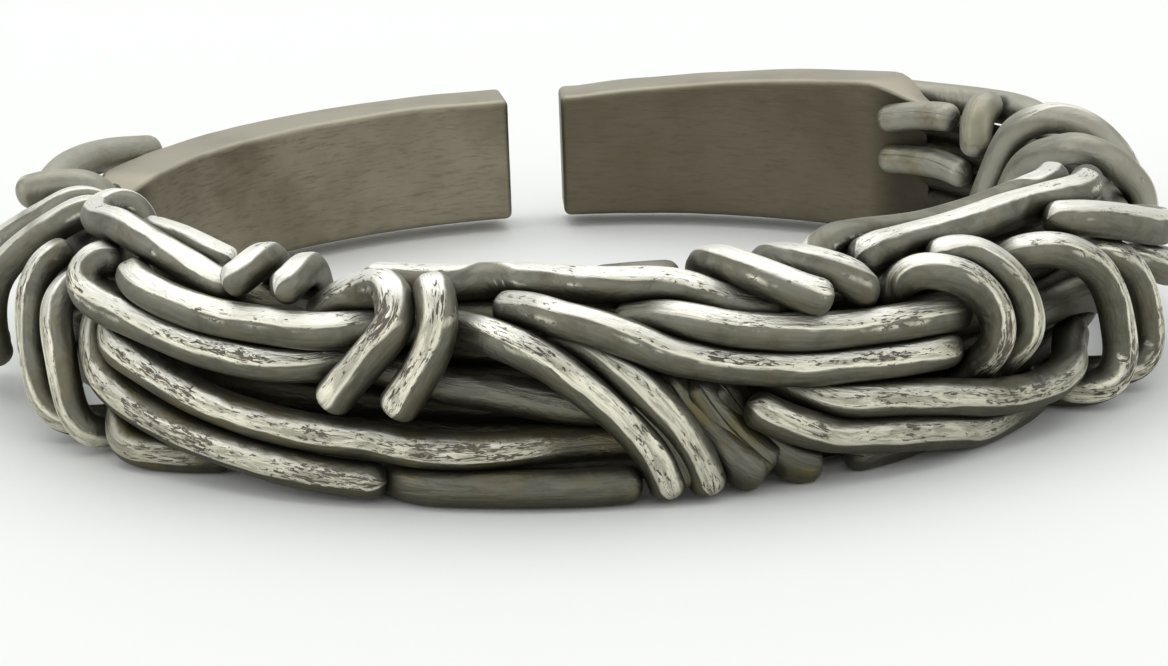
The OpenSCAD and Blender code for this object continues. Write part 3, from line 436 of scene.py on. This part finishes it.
def smooth_line(rows, step, reach):
    """Points of a wire's line, about a step apart and closer at its tips, and how far along each lies."""
    fine = curve_through(rows)
    fine.insert(0, fine[0] + (fine[0] - fine[1]).normalized() * reach[0])
    fine.append(fine[-1] + (fine[-1] - fine[-2]).normalized() * reach[1])
    lengths = [0.0]
    for a, b in zip(fine, fine[1:]):
        lengths.append(lengths[-1] + (b - a).length)
    total = lengths[-1]
    middle = total - 2 * TIP_LENGTH
    count = max(4, round(middle / step))
    stations = list(TIP_STATIONS) + [TIP_LENGTH + middle * i / count for i in range(1, count)]
    stations += [total - s for s in reversed(TIP_STATIONS)]
    line, at = [], 0
    for s in stations:
        while at < len(lengths) - 2 and lengths[at + 1] < s:
            at += 1
        t = (s - lengths[at]) / max(1e-9, lengths[at + 1] - lengths[at])
        line.append(fine[at].lerp(fine[at + 1], min(1.0, t)))
    return line, stations


def outward(point, lean):
    """Direction that the file came from at a point of the weave: further up the higher the wire lies."""
    radial = Vector((point.x, point.y, 0))
    reach = radial.length
    radial.normalize()
    if reach < 9.9:
        return (UP * 0.55 - radial).normalized()
    side = ease(reach, 9.7, 10.6)
    tilt = math.radians(min(82, max(4, 30 + lean + 22 * (point.z - 2.3))))
    return (radial * side * math.cos(tilt) + UP * (math.sin(tilt) + 0.3 * (1 - side))).normalized()


def directions_along(line, lean):
    """At each point of a wire's line, the direction it runs in and the one that its filed side faces."""
    last = len(line) - 1
    tangents = [(line[min(i + 1, last)] - line[max(i - 1, 0)]).normalized() for i in range(last + 1)]
    sides = []
    for p, t in zip(line, tangents):
        side = outward(p, lean)
        side = side - t * side.dot(t)
        if side.length < 0.30 and sides:
            side = sides[-1] - t * sides[-1].dot(t)
        sides.append(side.normalized())
    for _ in range(12):
        sides = [(sides[max(i - 1, 0)] + 2 * sides[i] + sides[min(i + 1, last)]).normalized()
                 for i in range(last + 1)]
    return tangents, sides


def section_angles(flat_half):
    """Places round a wire, in radians from the middle of its flat, crowded where the flat ends."""
    near = [flat_half + e for e in (-0.16, -0.08, -0.02, 0.04, 0.12, 0.22, 0.36)]
    across = [-near[0] + 2 * near[0] * k / 4 for k in range(1, 4)]
    back = 2 * math.pi - 2 * near[-1]
    round_part = [near[-1] + back * k / 14 for k in range(1, 14)]
    return [-a for a in reversed(near)] + across + near + round_part


RING_POINTS = len(section_angles(0.5))


def filed_radius(angle, depth):
    """Radius of a filed wire, at an angle in radians from the middle of its flat."""
    if abs(angle) >= 1.3:
        return WIRE_R
    cut = WIRE_R - (WIRE_R - depth) / math.cos(angle)
    return WIRE_R - 0.5 * (cut + math.sqrt(cut * cut + WIRE_CORNER ** 2))


def grid_rings(bm, sections):
    """The points of a flat grid, sorted into rings to be rolled round a wire. The last of a ring closes it."""
    grid = bmesh.ops.create_grid(bm, x_segments=sections - 1, y_segments=RING_POINTS, size=1.0)["verts"]
    rings = [[None] * (RING_POINTS + 1) for _ in range(sections)]
    for v in grid:
        rings[round((v.co.x + 1) / 2 * (sections - 1))][round((v.co.y + 1) / 2 * RING_POINTS)] = v
    return rings


def lay_ring(ring, marks, centre, side, across, thick, depth, worn_half, turn):
    """Lays a ring of points round a wire's line and marks where the file has touched it."""
    for v, a in zip(ring, section_angles(math.acos(1 - depth / WIRE_R))):
        direction = side * math.cos(a + turn) + across * math.sin(a + turn)
        v.co = (centre + direction * filed_radius(a, depth) * thick) * MM
        v.co.z = max(v.co.z, FLOOR_GAP * MM)
        # The upper side of the flat fades out, its lower side ends sharply
        upper = across.z if a > 0 else -across.z
        past = abs(math.remainder(a, 2 * math.pi)) - worn_half
        v[marks["filed"]] = 1 - ease(past, -0.08, 0.32 + 0.22 * upper)
        v[marks["rim"]] = math.exp(-(past / 0.11) ** 2) * (0.55 - 0.45 * upper)
        v[marks["lift"]] = 0.5 + 0.5 * direction.z
        # The line that stands out furthest from the ring, where a painted highlight of the front light is laid
        rise = math.degrees(math.asin(max(-1, min(1, direction.z))))
        facing = direction.x * centre.x + direction.y * centre.y
        v[marks["brow_highlight"]] = math.exp(-((rise - 9) / 6) ** 2) if facing > 0 else 0.0


def wear_ring(ring, marks, centre, rubbed, patina, exposed, others):
    """Marks how bright a ring of points is rubbed, the dirt and painted shade that stay on it, and the painted
    sheen of the wires towards the back.
    """
    high = ease(centre.z, 0.5, 3.0)
    for v in ring[:-1]:
        v[marks["brow_highlight"]] *= exposed
        # The upper wires are rubbed bright, the lower ones keep more of their dirt
        v[marks["rubbed"]] = rubbed * exposed * (0.82 + 0.24 * high)
        v[marks["patina"]] = patina
        # Wires towards the back get a painted sheen, paler
        v[marks["rear_painted_sheen"]] = ease(centre.y, -4.5, 2.5)
        # Painted shade and dirt where another wire is near, and painted shade on the lower wires
        gap = others.find(v.co)[2] / MM - WIRE_R
        v[marks["shade_and_dirt"]] = max(1 - ease(gap, -0.06, 0.26), 0.42 * (1 - high))
    # The point that closes the ring is the first one again
    ring[-1].co = ring[0].co
    for mark in marks.values():
        ring[-1][mark] = ring[0][mark]


def close_tip(bm, ring, marks, uv, shift):
    """Closes a tip with a small fan of faces."""
    face = bm.faces.new(ring)
    face.smooth = True
    fan = bmesh.ops.poke(bm, faces=[face])
    for mark in marks.values():
        fan["verts"][0][mark] = sum(v[mark] for v in ring) / len(ring)
    for f in fan["faces"]:
        for lp in f.loops:
            lp[uv].uv = (shift + lp.vert.co.x * 200, lp.vert.co.z * 400)


def wire_piece(name, rows, others, number, node, metal):
    """One round wire along its rows, filed flat on its outer side, with rounded tips."""
    filed, lean, rubbed = WEAR.get(name, PLAIN_WEAR)
    line, stations = smooth_line(rows, SECTION_STEP, REACH.get(name, TIP_REACH))
    tangents, sides = directions_along(line, lean)
    bm = bmesh.new()
    marks = {n: bm.verts.layers.float.new(n) for n in WEAR_MARKS}
    uv = bm.loops.layers.uv.new("wire")
    rings = grid_rings(bm, len(line))

    def uneven(travelled, pace, strand, layer):
        return noise.noise(Vector((travelled * pace, number * strand, layer)))

    for ring, p, tangent, side, travelled in zip(rings, line, tangents, sides, stations):
        cap = min(1.0, min(travelled, stations[-1] - travelled) / TIP_LENGTH)
        thick = STOUT.get(name, 1.0) * math.sqrt(max(0.004, 1 - (1 - cap) ** 2.15))
        swell = 1 + 0.05 * uneven(travelled, 0.7, 1.7, 9)
        turn = 0.10 * uneven(travelled, 0.7, 4.1, 2)
        wobble = uneven(travelled, 0.55, 7.3, 0) + 0.5 * uneven(travelled, 1.9, 3.1, 5)
        exposed = max(ease(math.hypot(p.x, p.y), 10.7, 11.15), ease(p.z, 3.2, 3.7), 0.05)
        depth = max(0.004, filed * (0.4 + 0.6 * exposed) * (1 + 0.5 * wobble) * ease(cap, -0.2, 1.1))
        worn_half = math.acos(1 - depth / WIRE_R) + 0.10 + 0.10 * wobble
        lay_ring(ring, marks, p, side, tangent.cross(side).normalized(), thick * swell, depth, worn_half, turn)
        wear_ring(ring, marks, p, rubbed, PATINA.get(name, PLAIN_PATINA), exposed, others)
    place_of = {
        v: (travelled + number * WIRE_SHIFT, k / RING_POINTS * 2 * math.pi * WIRE_R)
        for ring, travelled in zip(rings, stations) for k, v in enumerate(ring)
    }
    for f in bm.faces:
        f.smooth = True
        for lp in f.loops:
            lp[uv].uv = place_of[lp.vert]
    bmesh.ops.weld_verts(bm, targetmap={ring[-1]: ring[0] for ring in rings})
    for end in (0, -1):
        close_tip(bm, rings[end][:RING_POINTS], marks, uv, stations[end] + number * WIRE_SHIFT)
    bmesh.ops.recalc_face_normals(bm, faces=bm.faces)
    finish_piece(bm, "wire_" + name, node, metal)


def band_top_at(angle, right):
    if not right:
        return BAND_TOP
    sideways = max(0.0, math.sin(math.radians(angle)))
    return BAND_TOP + BAND_RISE * sideways / math.sin(math.radians(BAND_RIGHT_END))


def band_piece(name, start, end, right, metal):
    """Half of the plain band: a bevelled strip, spun round the axis and worked a little by hand."""
    bm = bmesh.new()
    strip = bmesh.ops.create_grid(bm, x_segments=1, y_segments=1, size=0.5)["verts"]
    for v in strip:
        x = BAND_INNER if v.co.x < 0 else BAND_OUTER
        z = BAND_LOW if v.co.y < 0 else BAND_TOP
        v.co = Vector((0, -x, z)) * MM
    bmesh.ops.rotate(bm, verts=bm.verts, cent=(0, 0, 0),
                     matrix=Matrix.Rotation(math.radians(start), 3, "Z"))
    steps = max(8, round(abs(end - start) / 1.2))
    bmesh.ops.spin(bm, geom=list(bm.faces) + list(bm.edges) + list(bm.verts), cent=(0, 0, 0),
                   axis=(0, 0, 1), angle=math.radians(end - start), steps=steps, use_duplicate=False)
    bmesh.ops.remove_doubles(bm, verts=bm.verts, dist=1e-6)
    bmesh.ops.recalc_face_normals(bm, faces=bm.faces)
    for v in bm.verts:
        if v.co.z > 0.5 * (BAND_LOW + BAND_TOP) * MM:
            v.co.z = band_top_at(angle_of(v.co) % 360, right) * MM
    sharp = [e for e in bm.edges if len(e.link_faces) == 2 and e.calc_face_angle() > math.radians(40)]
    bmesh.ops.bevel(bm, geom=sharp, offset=BAND_ROUNDING * MM, offset_type="OFFSET", segments=4,
                    profile=0.5, affect="EDGES", material=-1)
    # Cross cuts, so that the faces can take the hammered unevenness
    for k in range(9):
        bmesh.ops.bisect_plane(bm, geom=list(bm.verts) + list(bm.edges) + list(bm.faces),
                               plane_co=(0, 0, (0.55 + 0.25 * k) * MM), plane_no=(0, 0, 1), dist=1e-7)
    bm.normal_update()
    marks = {n: bm.verts.layers.float.new(n) for n in BAND_MARKS}
    middle = 0.5 * (BAND_INNER + BAND_OUTER)
    for v in bm.verts:
        p = v.co / MM
        angle = angle_of(p) % 360
        top = band_top_at(angle, right)
        v[marks["lift"]] = 0.5 + 0.5 * v.normal.z
        v[marks["edge"]] = ease(p.z, top - 0.16, top - 0.02)
        v[marks["tarnish"]] = 1.0 if right else 0.0
        # Under the weave the band gets painted shade and dirt, and is hammered thin towards its tip
        to_end = min(abs(angle - start % 360), abs(angle - end % 360))
        under = abs(angle - SLIT_ANGLE) > 30
        v[marks["shade_and_dirt"]] = 1 - ease(to_end, 1.0, 11.0) if under else 0.0
        thin = 1 - ease(to_end, 0.0, BAND_TIP) if under else 0.0
        radial = Vector((p.x, p.y, 0)).normalized()
        v.co -= radial * (math.hypot(p.x, p.y) - middle) * 0.75 * thin * MM
        v.co.z -= (p.z - 0.5 * (BAND_LOW + top)) * 0.30 * thin * MM
        # Faces that the hammer left uneven, and an upper edge that is not quite level
        push = 0.035 * noise.noise(p * 0.9) + 0.018 * noise.noise(p * 2.6 + Vector((4, 1, 7)))
        v.co += radial * push * MM
        if p.z > BAND_LOW + 0.6:
            v.co.z += 0.03 * noise.noise(p * 0.7 + Vector((9, 2, 5))) * MM
    for f in bm.faces:
        f.smooth = True
    finish_piece(bm, name, "shank", metal)


def core_piece(number, height, start, end, thickness, core_shade_and_dirt, sinks, dip, metal):
    """One of the wires that carry the weave, bent to an arc and rounded at its ends."""
    bm = bmesh.new()
    section = bmesh.ops.create_circle(bm, cap_ends=True, segments=20, radius=thickness / 2 * MM)["verts"]
    bmesh.ops.rotate(bm, verts=section, cent=(0, 0, 0), matrix=Matrix.Rotation(math.radians(90), 3, "Y"))
    bmesh.ops.translate(bm, verts=section, vec=Vector((0, -CORE_RADIUS, height)) * MM)
    bmesh.ops.rotate(bm, verts=section, cent=(0, 0, 0),
                     matrix=Matrix.Rotation(math.radians(start), 3, "Z"))
    bmesh.ops.spin(bm, geom=list(bm.faces), cent=(0, 0, 0), axis=(0, 0, 1),
                   angle=math.radians(end - start), steps=round((end - start) / 1.7), use_duplicate=False)
    bmesh.ops.recalc_face_normals(bm, faces=bm.faces)
    rims = [e for f in bm.faces if len(f.verts) > 4 for e in f.edges]
    bmesh.ops.bevel(bm, geom=rims, offset=CORE_ROUNDING * MM, offset_type="OFFSET", segments=4,
                    profile=0.5, affect="EDGES", material=-1)
    marks = {n: bm.verts.layers.float.new(n) for n in WEAR_MARKS}
    uv = bm.loops.layers.uv.new("wire")
    bm.normal_update()
    for v in bm.verts:
        # Towards the band the wire gets thinner and sinks into the metal
        angle = angle_of(v.co)
        sunk = 1 - ease(min(angle - start, end - angle), 3.0, 15.0) if sinks else 0.0
        v.co -= (v.co - ring_point(angle, height, CORE_RADIUS) * MM) * 0.32 * sunk
        v.co.z -= dip * sunk * MM
        # Painted shade and dirt deep in the weave, less where the wire sinks into the band
        v[marks["shade_and_dirt"]] = core_shade_and_dirt - 0.55 * sunk
        v[marks["patina"]] = 0.3
        v[marks["lift"]] = 0.5 + 0.5 * v.normal.z
    for f in bm.faces:
        f.smooth = True
        for lp in f.loops:
            along = math.radians(angle_of(lp.vert.co)) * CORE_RADIUS
            lp[uv].uv = (along + number * CORE_SHIFT, lp.vert.co.z / MM * 3)
    finish_piece(bm, "core_wire_%d" % number, "shank", metal)


class Shader:
    """Small helper that adds the nodes of a material and joins them."""

    def __init__(self, name):
        self.material = bpy.data.materials.new(name)
        self.material.use_nodes = True
        self.tree = self.material.node_tree
        self.tree.nodes.clear()
        out = self.tree.nodes.new("ShaderNodeOutputMaterial")
        self.surface = self.tree.nodes.new("ShaderNodeBsdfPrincipled")
        self.tree.links.new(self.surface.outputs[0], out.inputs["Surface"])

    def put(self, value, socket):
        if isinstance(value, bpy.types.NodeSocket):
            self.tree.links.new(value, socket)
        else:
            socket.default_value = value

    def set(self, socket, value):
        self.put(value, self.surface.inputs[socket])

    def attribute(self, name):
        n = self.tree.nodes.new("ShaderNodeAttribute")
        n.attribute_type = "GEOMETRY"
        n.attribute_name = name
        return n.outputs["Fac"]

    def scaled(self, vector, scale):
        n = self.tree.nodes.new("ShaderNodeMapping")
        n.inputs["Scale"].default_value = scale
        self.tree.links.new(vector, n.inputs["Vector"])
        return n.outputs["Vector"]

    def object_mm(self, scale=(1.0, 1.0, 1.0)):
        coords = self.tree.nodes.new("ShaderNodeTexCoord")
        return self.scaled(coords.outputs["Object"], [s / MM for s in scale])

    def along_wire(self, lengthwise, round_it):
        n = self.tree.nodes.new("ShaderNodeUVMap")
        n.uv_map = "wire"
        return self.scaled(n.outputs["UV"], (lengthwise, round_it, 1))

    def noise(self, vector, scale, detail=3.0, rough=0.6, distortion=0.0):
        n = self.tree.nodes.new("ShaderNodeTexNoise")
        self.tree.links.new(vector, n.inputs["Vector"])
        n.inputs["Scale"].default_value = scale
        n.inputs["Detail"].default_value = detail
        n.inputs["Roughness"].default_value = rough
        n.inputs["Distortion"].default_value = distortion
        return n.outputs["Fac"]

    def spread(self, value, low, high, to_low=0.0, to_high=1.0):
        n = self.tree.nodes.new("ShaderNodeMapRange")
        n.interpolation_type = "SMOOTHSTEP"
        self.put(value, n.inputs["Value"])
        n.inputs["From Min"].default_value = low
        n.inputs["From Max"].default_value = high
        n.inputs["To Min"].default_value = to_low
        n.inputs["To Max"].default_value = to_high
        return n.outputs["Result"]

    def math(self, kind, a, b, clamp=False):
        n = self.tree.nodes.new("ShaderNodeMath")
        n.operation = kind
        n.use_clamp = clamp
        self.put(a, n.inputs[0])
        self.put(b, n.inputs[1])
        return n.outputs[0]

    def plus(self, a, b):
        return self.math("ADD", a, b)

    def minus(self, a, b, clamp=False):
        return self.math("SUBTRACT", a, b, clamp)

    def times(self, a, b):
        return self.math("MULTIPLY", a, b)

    def blend(self, amount, a, b):
        n = self.tree.nodes.new("ShaderNodeMix")
        n.data_type = "RGBA"
        self.put(amount, n.inputs["Factor"])
        self.put((*a, 1) if isinstance(a, tuple) else a, n.inputs["A"])
        self.put((*b, 1) if isinstance(b, tuple) else b, n.inputs["B"])
        return n.outputs["Result"]

    def bump(self, height, strength, distance, under=None):
        n = self.tree.nodes.new("ShaderNodeBump")
        n.inputs["Strength"].default_value = strength
        n.inputs["Distance"].default_value = distance * MM
        self.tree.links.new(height, n.inputs["Height"])
        if under is not None:
            self.tree.links.new(under, n.inputs["Normal"])
        return n.outputs["Normal"]


def antiqued_silver():
    """Blackened silver, filed and rubbed bright on its outer side, with pits and streaks that stay dark, and
    painted shade, sheen and highlights.
    """
    gap_black, olive = (0.056, 0.053, 0.038), (0.215, 0.180, 0.080)
    grey_below, grey_above = (0.098, 0.094, 0.068), (0.205, 0.201, 0.168)
    grey_streak, grey_blotch, grey_painted_sheen = (0.300, 0.294, 0.243), (0.090, 0.087, 0.066), (0.440, 0.430, 0.365)
    stain_brown, stain_purple = (0.105, 0.099, 0.080), (0.150, 0.122, 0.108)
    silver_above, silver_below = (0.89, 0.88, 0.81), (0.93, 0.90, 0.735)
    scratch_grey, flat_shade_grey = (0.46, 0.435, 0.37), (0.36, 0.35, 0.275)

    s = Shader("antiqued silver")
    filed, rim, brow_highlight = s.attribute("filed"), s.attribute("rim"), s.attribute("brow_highlight")
    lift, shade_and_dirt = s.attribute("lift"), s.attribute("shade_and_dirt")
    rubbed, patina, rear_painted_sheen = s.attribute("rubbed"), s.attribute("patina"), s.attribute("rear_painted_sheen")
    pits = s.noise(s.along_wire(0.8, 1.25), 6.0, 5.0, 0.66, 0.8)
    patches = s.noise(s.object_mm(), 0.75, 3.0, 0.6, 0.3)
    mottle = s.noise(s.along_wire(0.8, 1.4), 1.6, 4.0, 0.65, 0.5)
    streaks = s.noise(s.along_wire(0.45, 7.0), 3.0, 4.0, 0.7)
    scratches = s.noise(s.along_wire(0.25, 16.0), 3.0, 3.0, 0.7)
    # Soft edges of what the file and the hand have rubbed
    worn = s.plus(filed, s.times(s.minus(mottle, 0.5), 1.1))
    worn = s.plus(worn, s.times(s.minus(streaks, 0.5), 0.5))
    worn = s.spread(s.plus(worn, s.times(rim, 0.30)), 0.15, 0.90)
    # A painted highlight along the brow of each wire, in patches
    line = s.times(brow_highlight, s.spread(patches, 0.40, 0.56))
    worn = s.math("MAXIMUM", worn, s.spread(line, 0.25, 0.85, 0.0, 0.8))
    worn = s.times(worn, s.spread(rubbed, 0.10, 1.02))
    # Pits: fewer where the metal faces up and along the rims of a flat
    limit = s.spread(patches, 0.38, 0.64, 0.37, 0.50)
    limit = s.minus(limit, s.times(rim, 0.10))
    limit = s.minus(limit, s.times(brow_highlight, 0.08))
    limit = s.minus(limit, s.spread(lift, 0.70, 0.92, -0.035, 0.07))
    clean = s.spread(s.minus(pits, limit), -0.015, 0.020)
    # Away from the painted shade and dirt of the gaps and the low wires, the metal may be rubbed bright
    open_air = s.spread(shade_and_dirt, 0.10, 0.90, 1.0, 0.0)
    bright = s.times(s.times(worn, clean), s.spread(open_air, 0.0, 0.6))
    # Round flanks: satin grey above, darker and browner below with painted shade and tarnish, near black in
    # the gaps with painted shade and dirt
    grey = s.blend(s.spread(lift, 0.28, 0.70), grey_below, grey_above)
    grey = s.blend(s.spread(streaks, 0.30, 0.75, 0.0, 0.40), grey, grey_streak)
    grey = s.blend(s.spread(mottle, 0.56, 0.36, 0.0, 0.50), grey, grey_blotch)
    # Paler towards the back: a painted sheen
    grey = s.blend(s.times(rear_painted_sheen, 0.75), grey, grey_painted_sheen)
    grey = s.blend(s.times(s.spread(s.noise(s.object_mm(), 1.1, 3.0, 0.6), 0.42, 0.62), patina), grey, olive)
    dull = s.blend(open_air, gap_black, grey)
    # What stays dark among the rubbed places is brown, purple in patches
    stain = s.blend(s.spread(patches, 0.50, 0.66), stain_brown, stain_purple)
    dull = s.blend(s.times(s.times(worn, 0.85), s.spread(open_air, 0.2, 0.9)), dull, stain)
    # The rubbed silver is warmer on its sides, scratched, and duller in the middle of a flat that faces
    # outward, a painted shade among rubbed rims
    silver = s.blend(s.spread(lift, 0.90, 0.62), silver_above, silver_below)
    silver = s.blend(s.spread(scratches, 0.60, 0.36, 0.0, 0.55), silver, scratch_grey)
    centre = s.times(s.minus(1.0, rim, clamp=True), s.spread(lift, 0.88, 0.66))
    silver = s.blend(s.times(centre, s.spread(mottle, 0.58, 0.42, 0.05, 0.80)), silver, flat_shade_grey)
    s.set("Base Color", s.blend(bright, dull, silver))
    s.set("Metallic", 1.0)
    rough = s.spread(bright, 0.0, 1.0, 0.44, 0.36)
    s.set("Roughness", s.plus(rough, s.spread(streaks, 0.2, 0.8, 0.0, 0.10)))
    low = s.bump(mottle, 0.80, 0.06)
    low = s.bump(s.times(clean, worn), 0.55, 0.012, low)
    s.set("Normal", s.bump(scratches, 0.22, 0.010, low))
    return s.material


def band_silver():
    """Satin silver of the plain band, darkened with painted shade and dirt under the weave, browner on its
    right half, and scraped bright along its upper edge.
    """
    satin_dark, satin_light = (0.200, 0.172, 0.120), (0.320, 0.288, 0.215)
    tarnish_brown, grain_brown = (0.110, 0.094, 0.062), (0.100, 0.086, 0.060)
    gap_black, edge_silver = (0.035, 0.031, 0.024), (0.38, 0.355, 0.285)

    s = Shader("band silver")
    lift, edge, shade_and_dirt = s.attribute("lift"), s.attribute("edge"), s.attribute("shade_and_dirt")
    cloud = s.noise(s.object_mm(), 0.35, 4.0, 0.6)
    grain = s.noise(s.object_mm((1.0, 1.0, 6.0)), 2.2, 5.0, 0.7)
    brush = s.noise(s.object_mm((0.8, 0.8, 14.0)), 1.2, 4.0, 0.65)
    base = s.blend(s.spread(cloud, 0.32, 0.68), satin_dark, satin_light)
    base = s.blend(s.times(s.attribute("tarnish"), 0.7), base, tarnish_brown)
    base = s.blend(s.spread(grain, 0.45, 0.75, 0.0, 0.5), base, grain_brown)
    # Painted shade and dirt where the band runs under the weave
    base = s.blend(s.spread(shade_and_dirt, 0.1, 0.9, 0.0, 0.75), base, gap_black)
    top = s.times(s.spread(lift, 0.62, 0.85), edge)
    top = s.times(top, s.spread(cloud, 0.30, 0.60, 0.6, 1.0))
    s.set("Base Color", s.blend(top, base, edge_silver))
    s.set("Metallic", 1.0)
    s.set("Roughness", s.spread(cloud, 0.2, 0.8, 0.40, 0.54))
    s.set("Normal", s.bump(grain, 0.25, 0.03, s.bump(brush, 0.25, 0.02)))
    return s.material


def white_table():
    s = Shader("white table")
    s.set("Base Color", (0.83, 0.84, 0.83, 1))
    s.set("Roughness", 0.7)
    return s.material


def tree_of(points):
    """A tree, in metres, that finds the nearest of the points to any place."""
    tree = kdtree.KDTree(len(points))
    for i, p in enumerate(points):
        tree.insert(p * MM, i)
    tree.balance()
    return tree


# The pieces: the weave, the solder, the core wires and the two halves of the band
lines = {name: smooth_line(rows, COARSE_STEP, TIP_REACH)[0] for name, rows in ROUTES.items()}
core_points = [
    ring_point(start + k * CORE_STEP, height, CORE_RADIUS)
    for height, start, end, *_ in CORE_WIRES for k in range(round((end - start) / CORE_STEP) + 1)
]
wire_metal = antiqued_silver()
for number, (name, rows) in enumerate(ROUTES.items(), 1):
    beside = [p for other, line in lines.items() if other not in (name, *HOVERING) for p in line]
    wire_piece(name, rows, tree_of(beside + core_points), number, name, wire_metal)
for number, (name, (owner, rows)) in enumerate(SOLDER.items(), 70):
    wire_piece(name, rows, tree_of(core_points), number, owner, wire_metal)
for number, core_wire in enumerate(CORE_WIRES):
    core_piece(number, *core_wire, wire_metal)

band_metal = band_silver()
band_piece("band_left", SLIT_ANGLE + SLIT_HALF, 360 + BAND_LEFT_END + BAND_TIP, False, band_metal)
band_piece("band_right", BAND_RIGHT_END - BAND_TIP, SLIT_ANGLE - SLIT_HALF, True, band_metal)

# The table, the light and the camera, in metres
bm = bmesh.new()
bmesh.ops.create_grid(bm, x_segments=2, y_segments=2, size=1.5)
table = mesh_object(bm, "table")
table.data.materials.append(white_table())


def soft_light(name, place, aim, size, power):
    data = bpy.data.lights.new(name, "AREA")
    data.shape = "RECTANGLE"
    data.size, data.size_y = size
    data.energy = power
    light = add_object(name, data)
    light.location = place
    light.rotation_euler = (Vector(aim) - Vector(place)).to_track_quat("-Z", "Y").to_euler()


soft_light("overhead", (0.0, 0.10, 0.30), (0, 0, 0), (0.50, 0.42), 0.86)
soft_light("front", (0.0, -0.57, 0.250), (0, 0, 0), (1.40, 0.42), 1.22)
soft_light("left side", (-0.48, -0.14, 0.24), (0, 0, 0), (0.40, 0.30), 0.56)
soft_light("right side", (0.48, -0.14, 0.24), (0, 0, 0), (0.40, 0.30), 0.38)
soft_light("backdrop", (0.0, 0.45, 0.13), (0, 0, 0.10), (1.20, 0.30), 0.40)

world = bpy.data.worlds.new("pale room")
world.use_nodes = True
background = world.node_tree.nodes["Background"]
background.inputs["Color"].default_value = (0.95, 0.97, 0.95, 1)
background.inputs["Strength"].default_value = 0.50
bpy.context.scene.world = world
bpy.context.scene.view_settings.view_transform = "Standard"

lens = bpy.data.cameras.new("camera")
lens.sensor_width = 36.0
lens.lens = 160.3
lens.clip_start, lens.clip_end = 0.005, 10.0
camera = add_object("camera", lens)
turn = Matrix.Rotation(math.radians(74.8), 4, "X") @ Matrix.Rotation(math.radians(-2.1), 4, "Z")
camera.matrix_world = Matrix.Translation((0, -0.100, 0.0273)) @ turn
bpy.context.scene.camera = camera
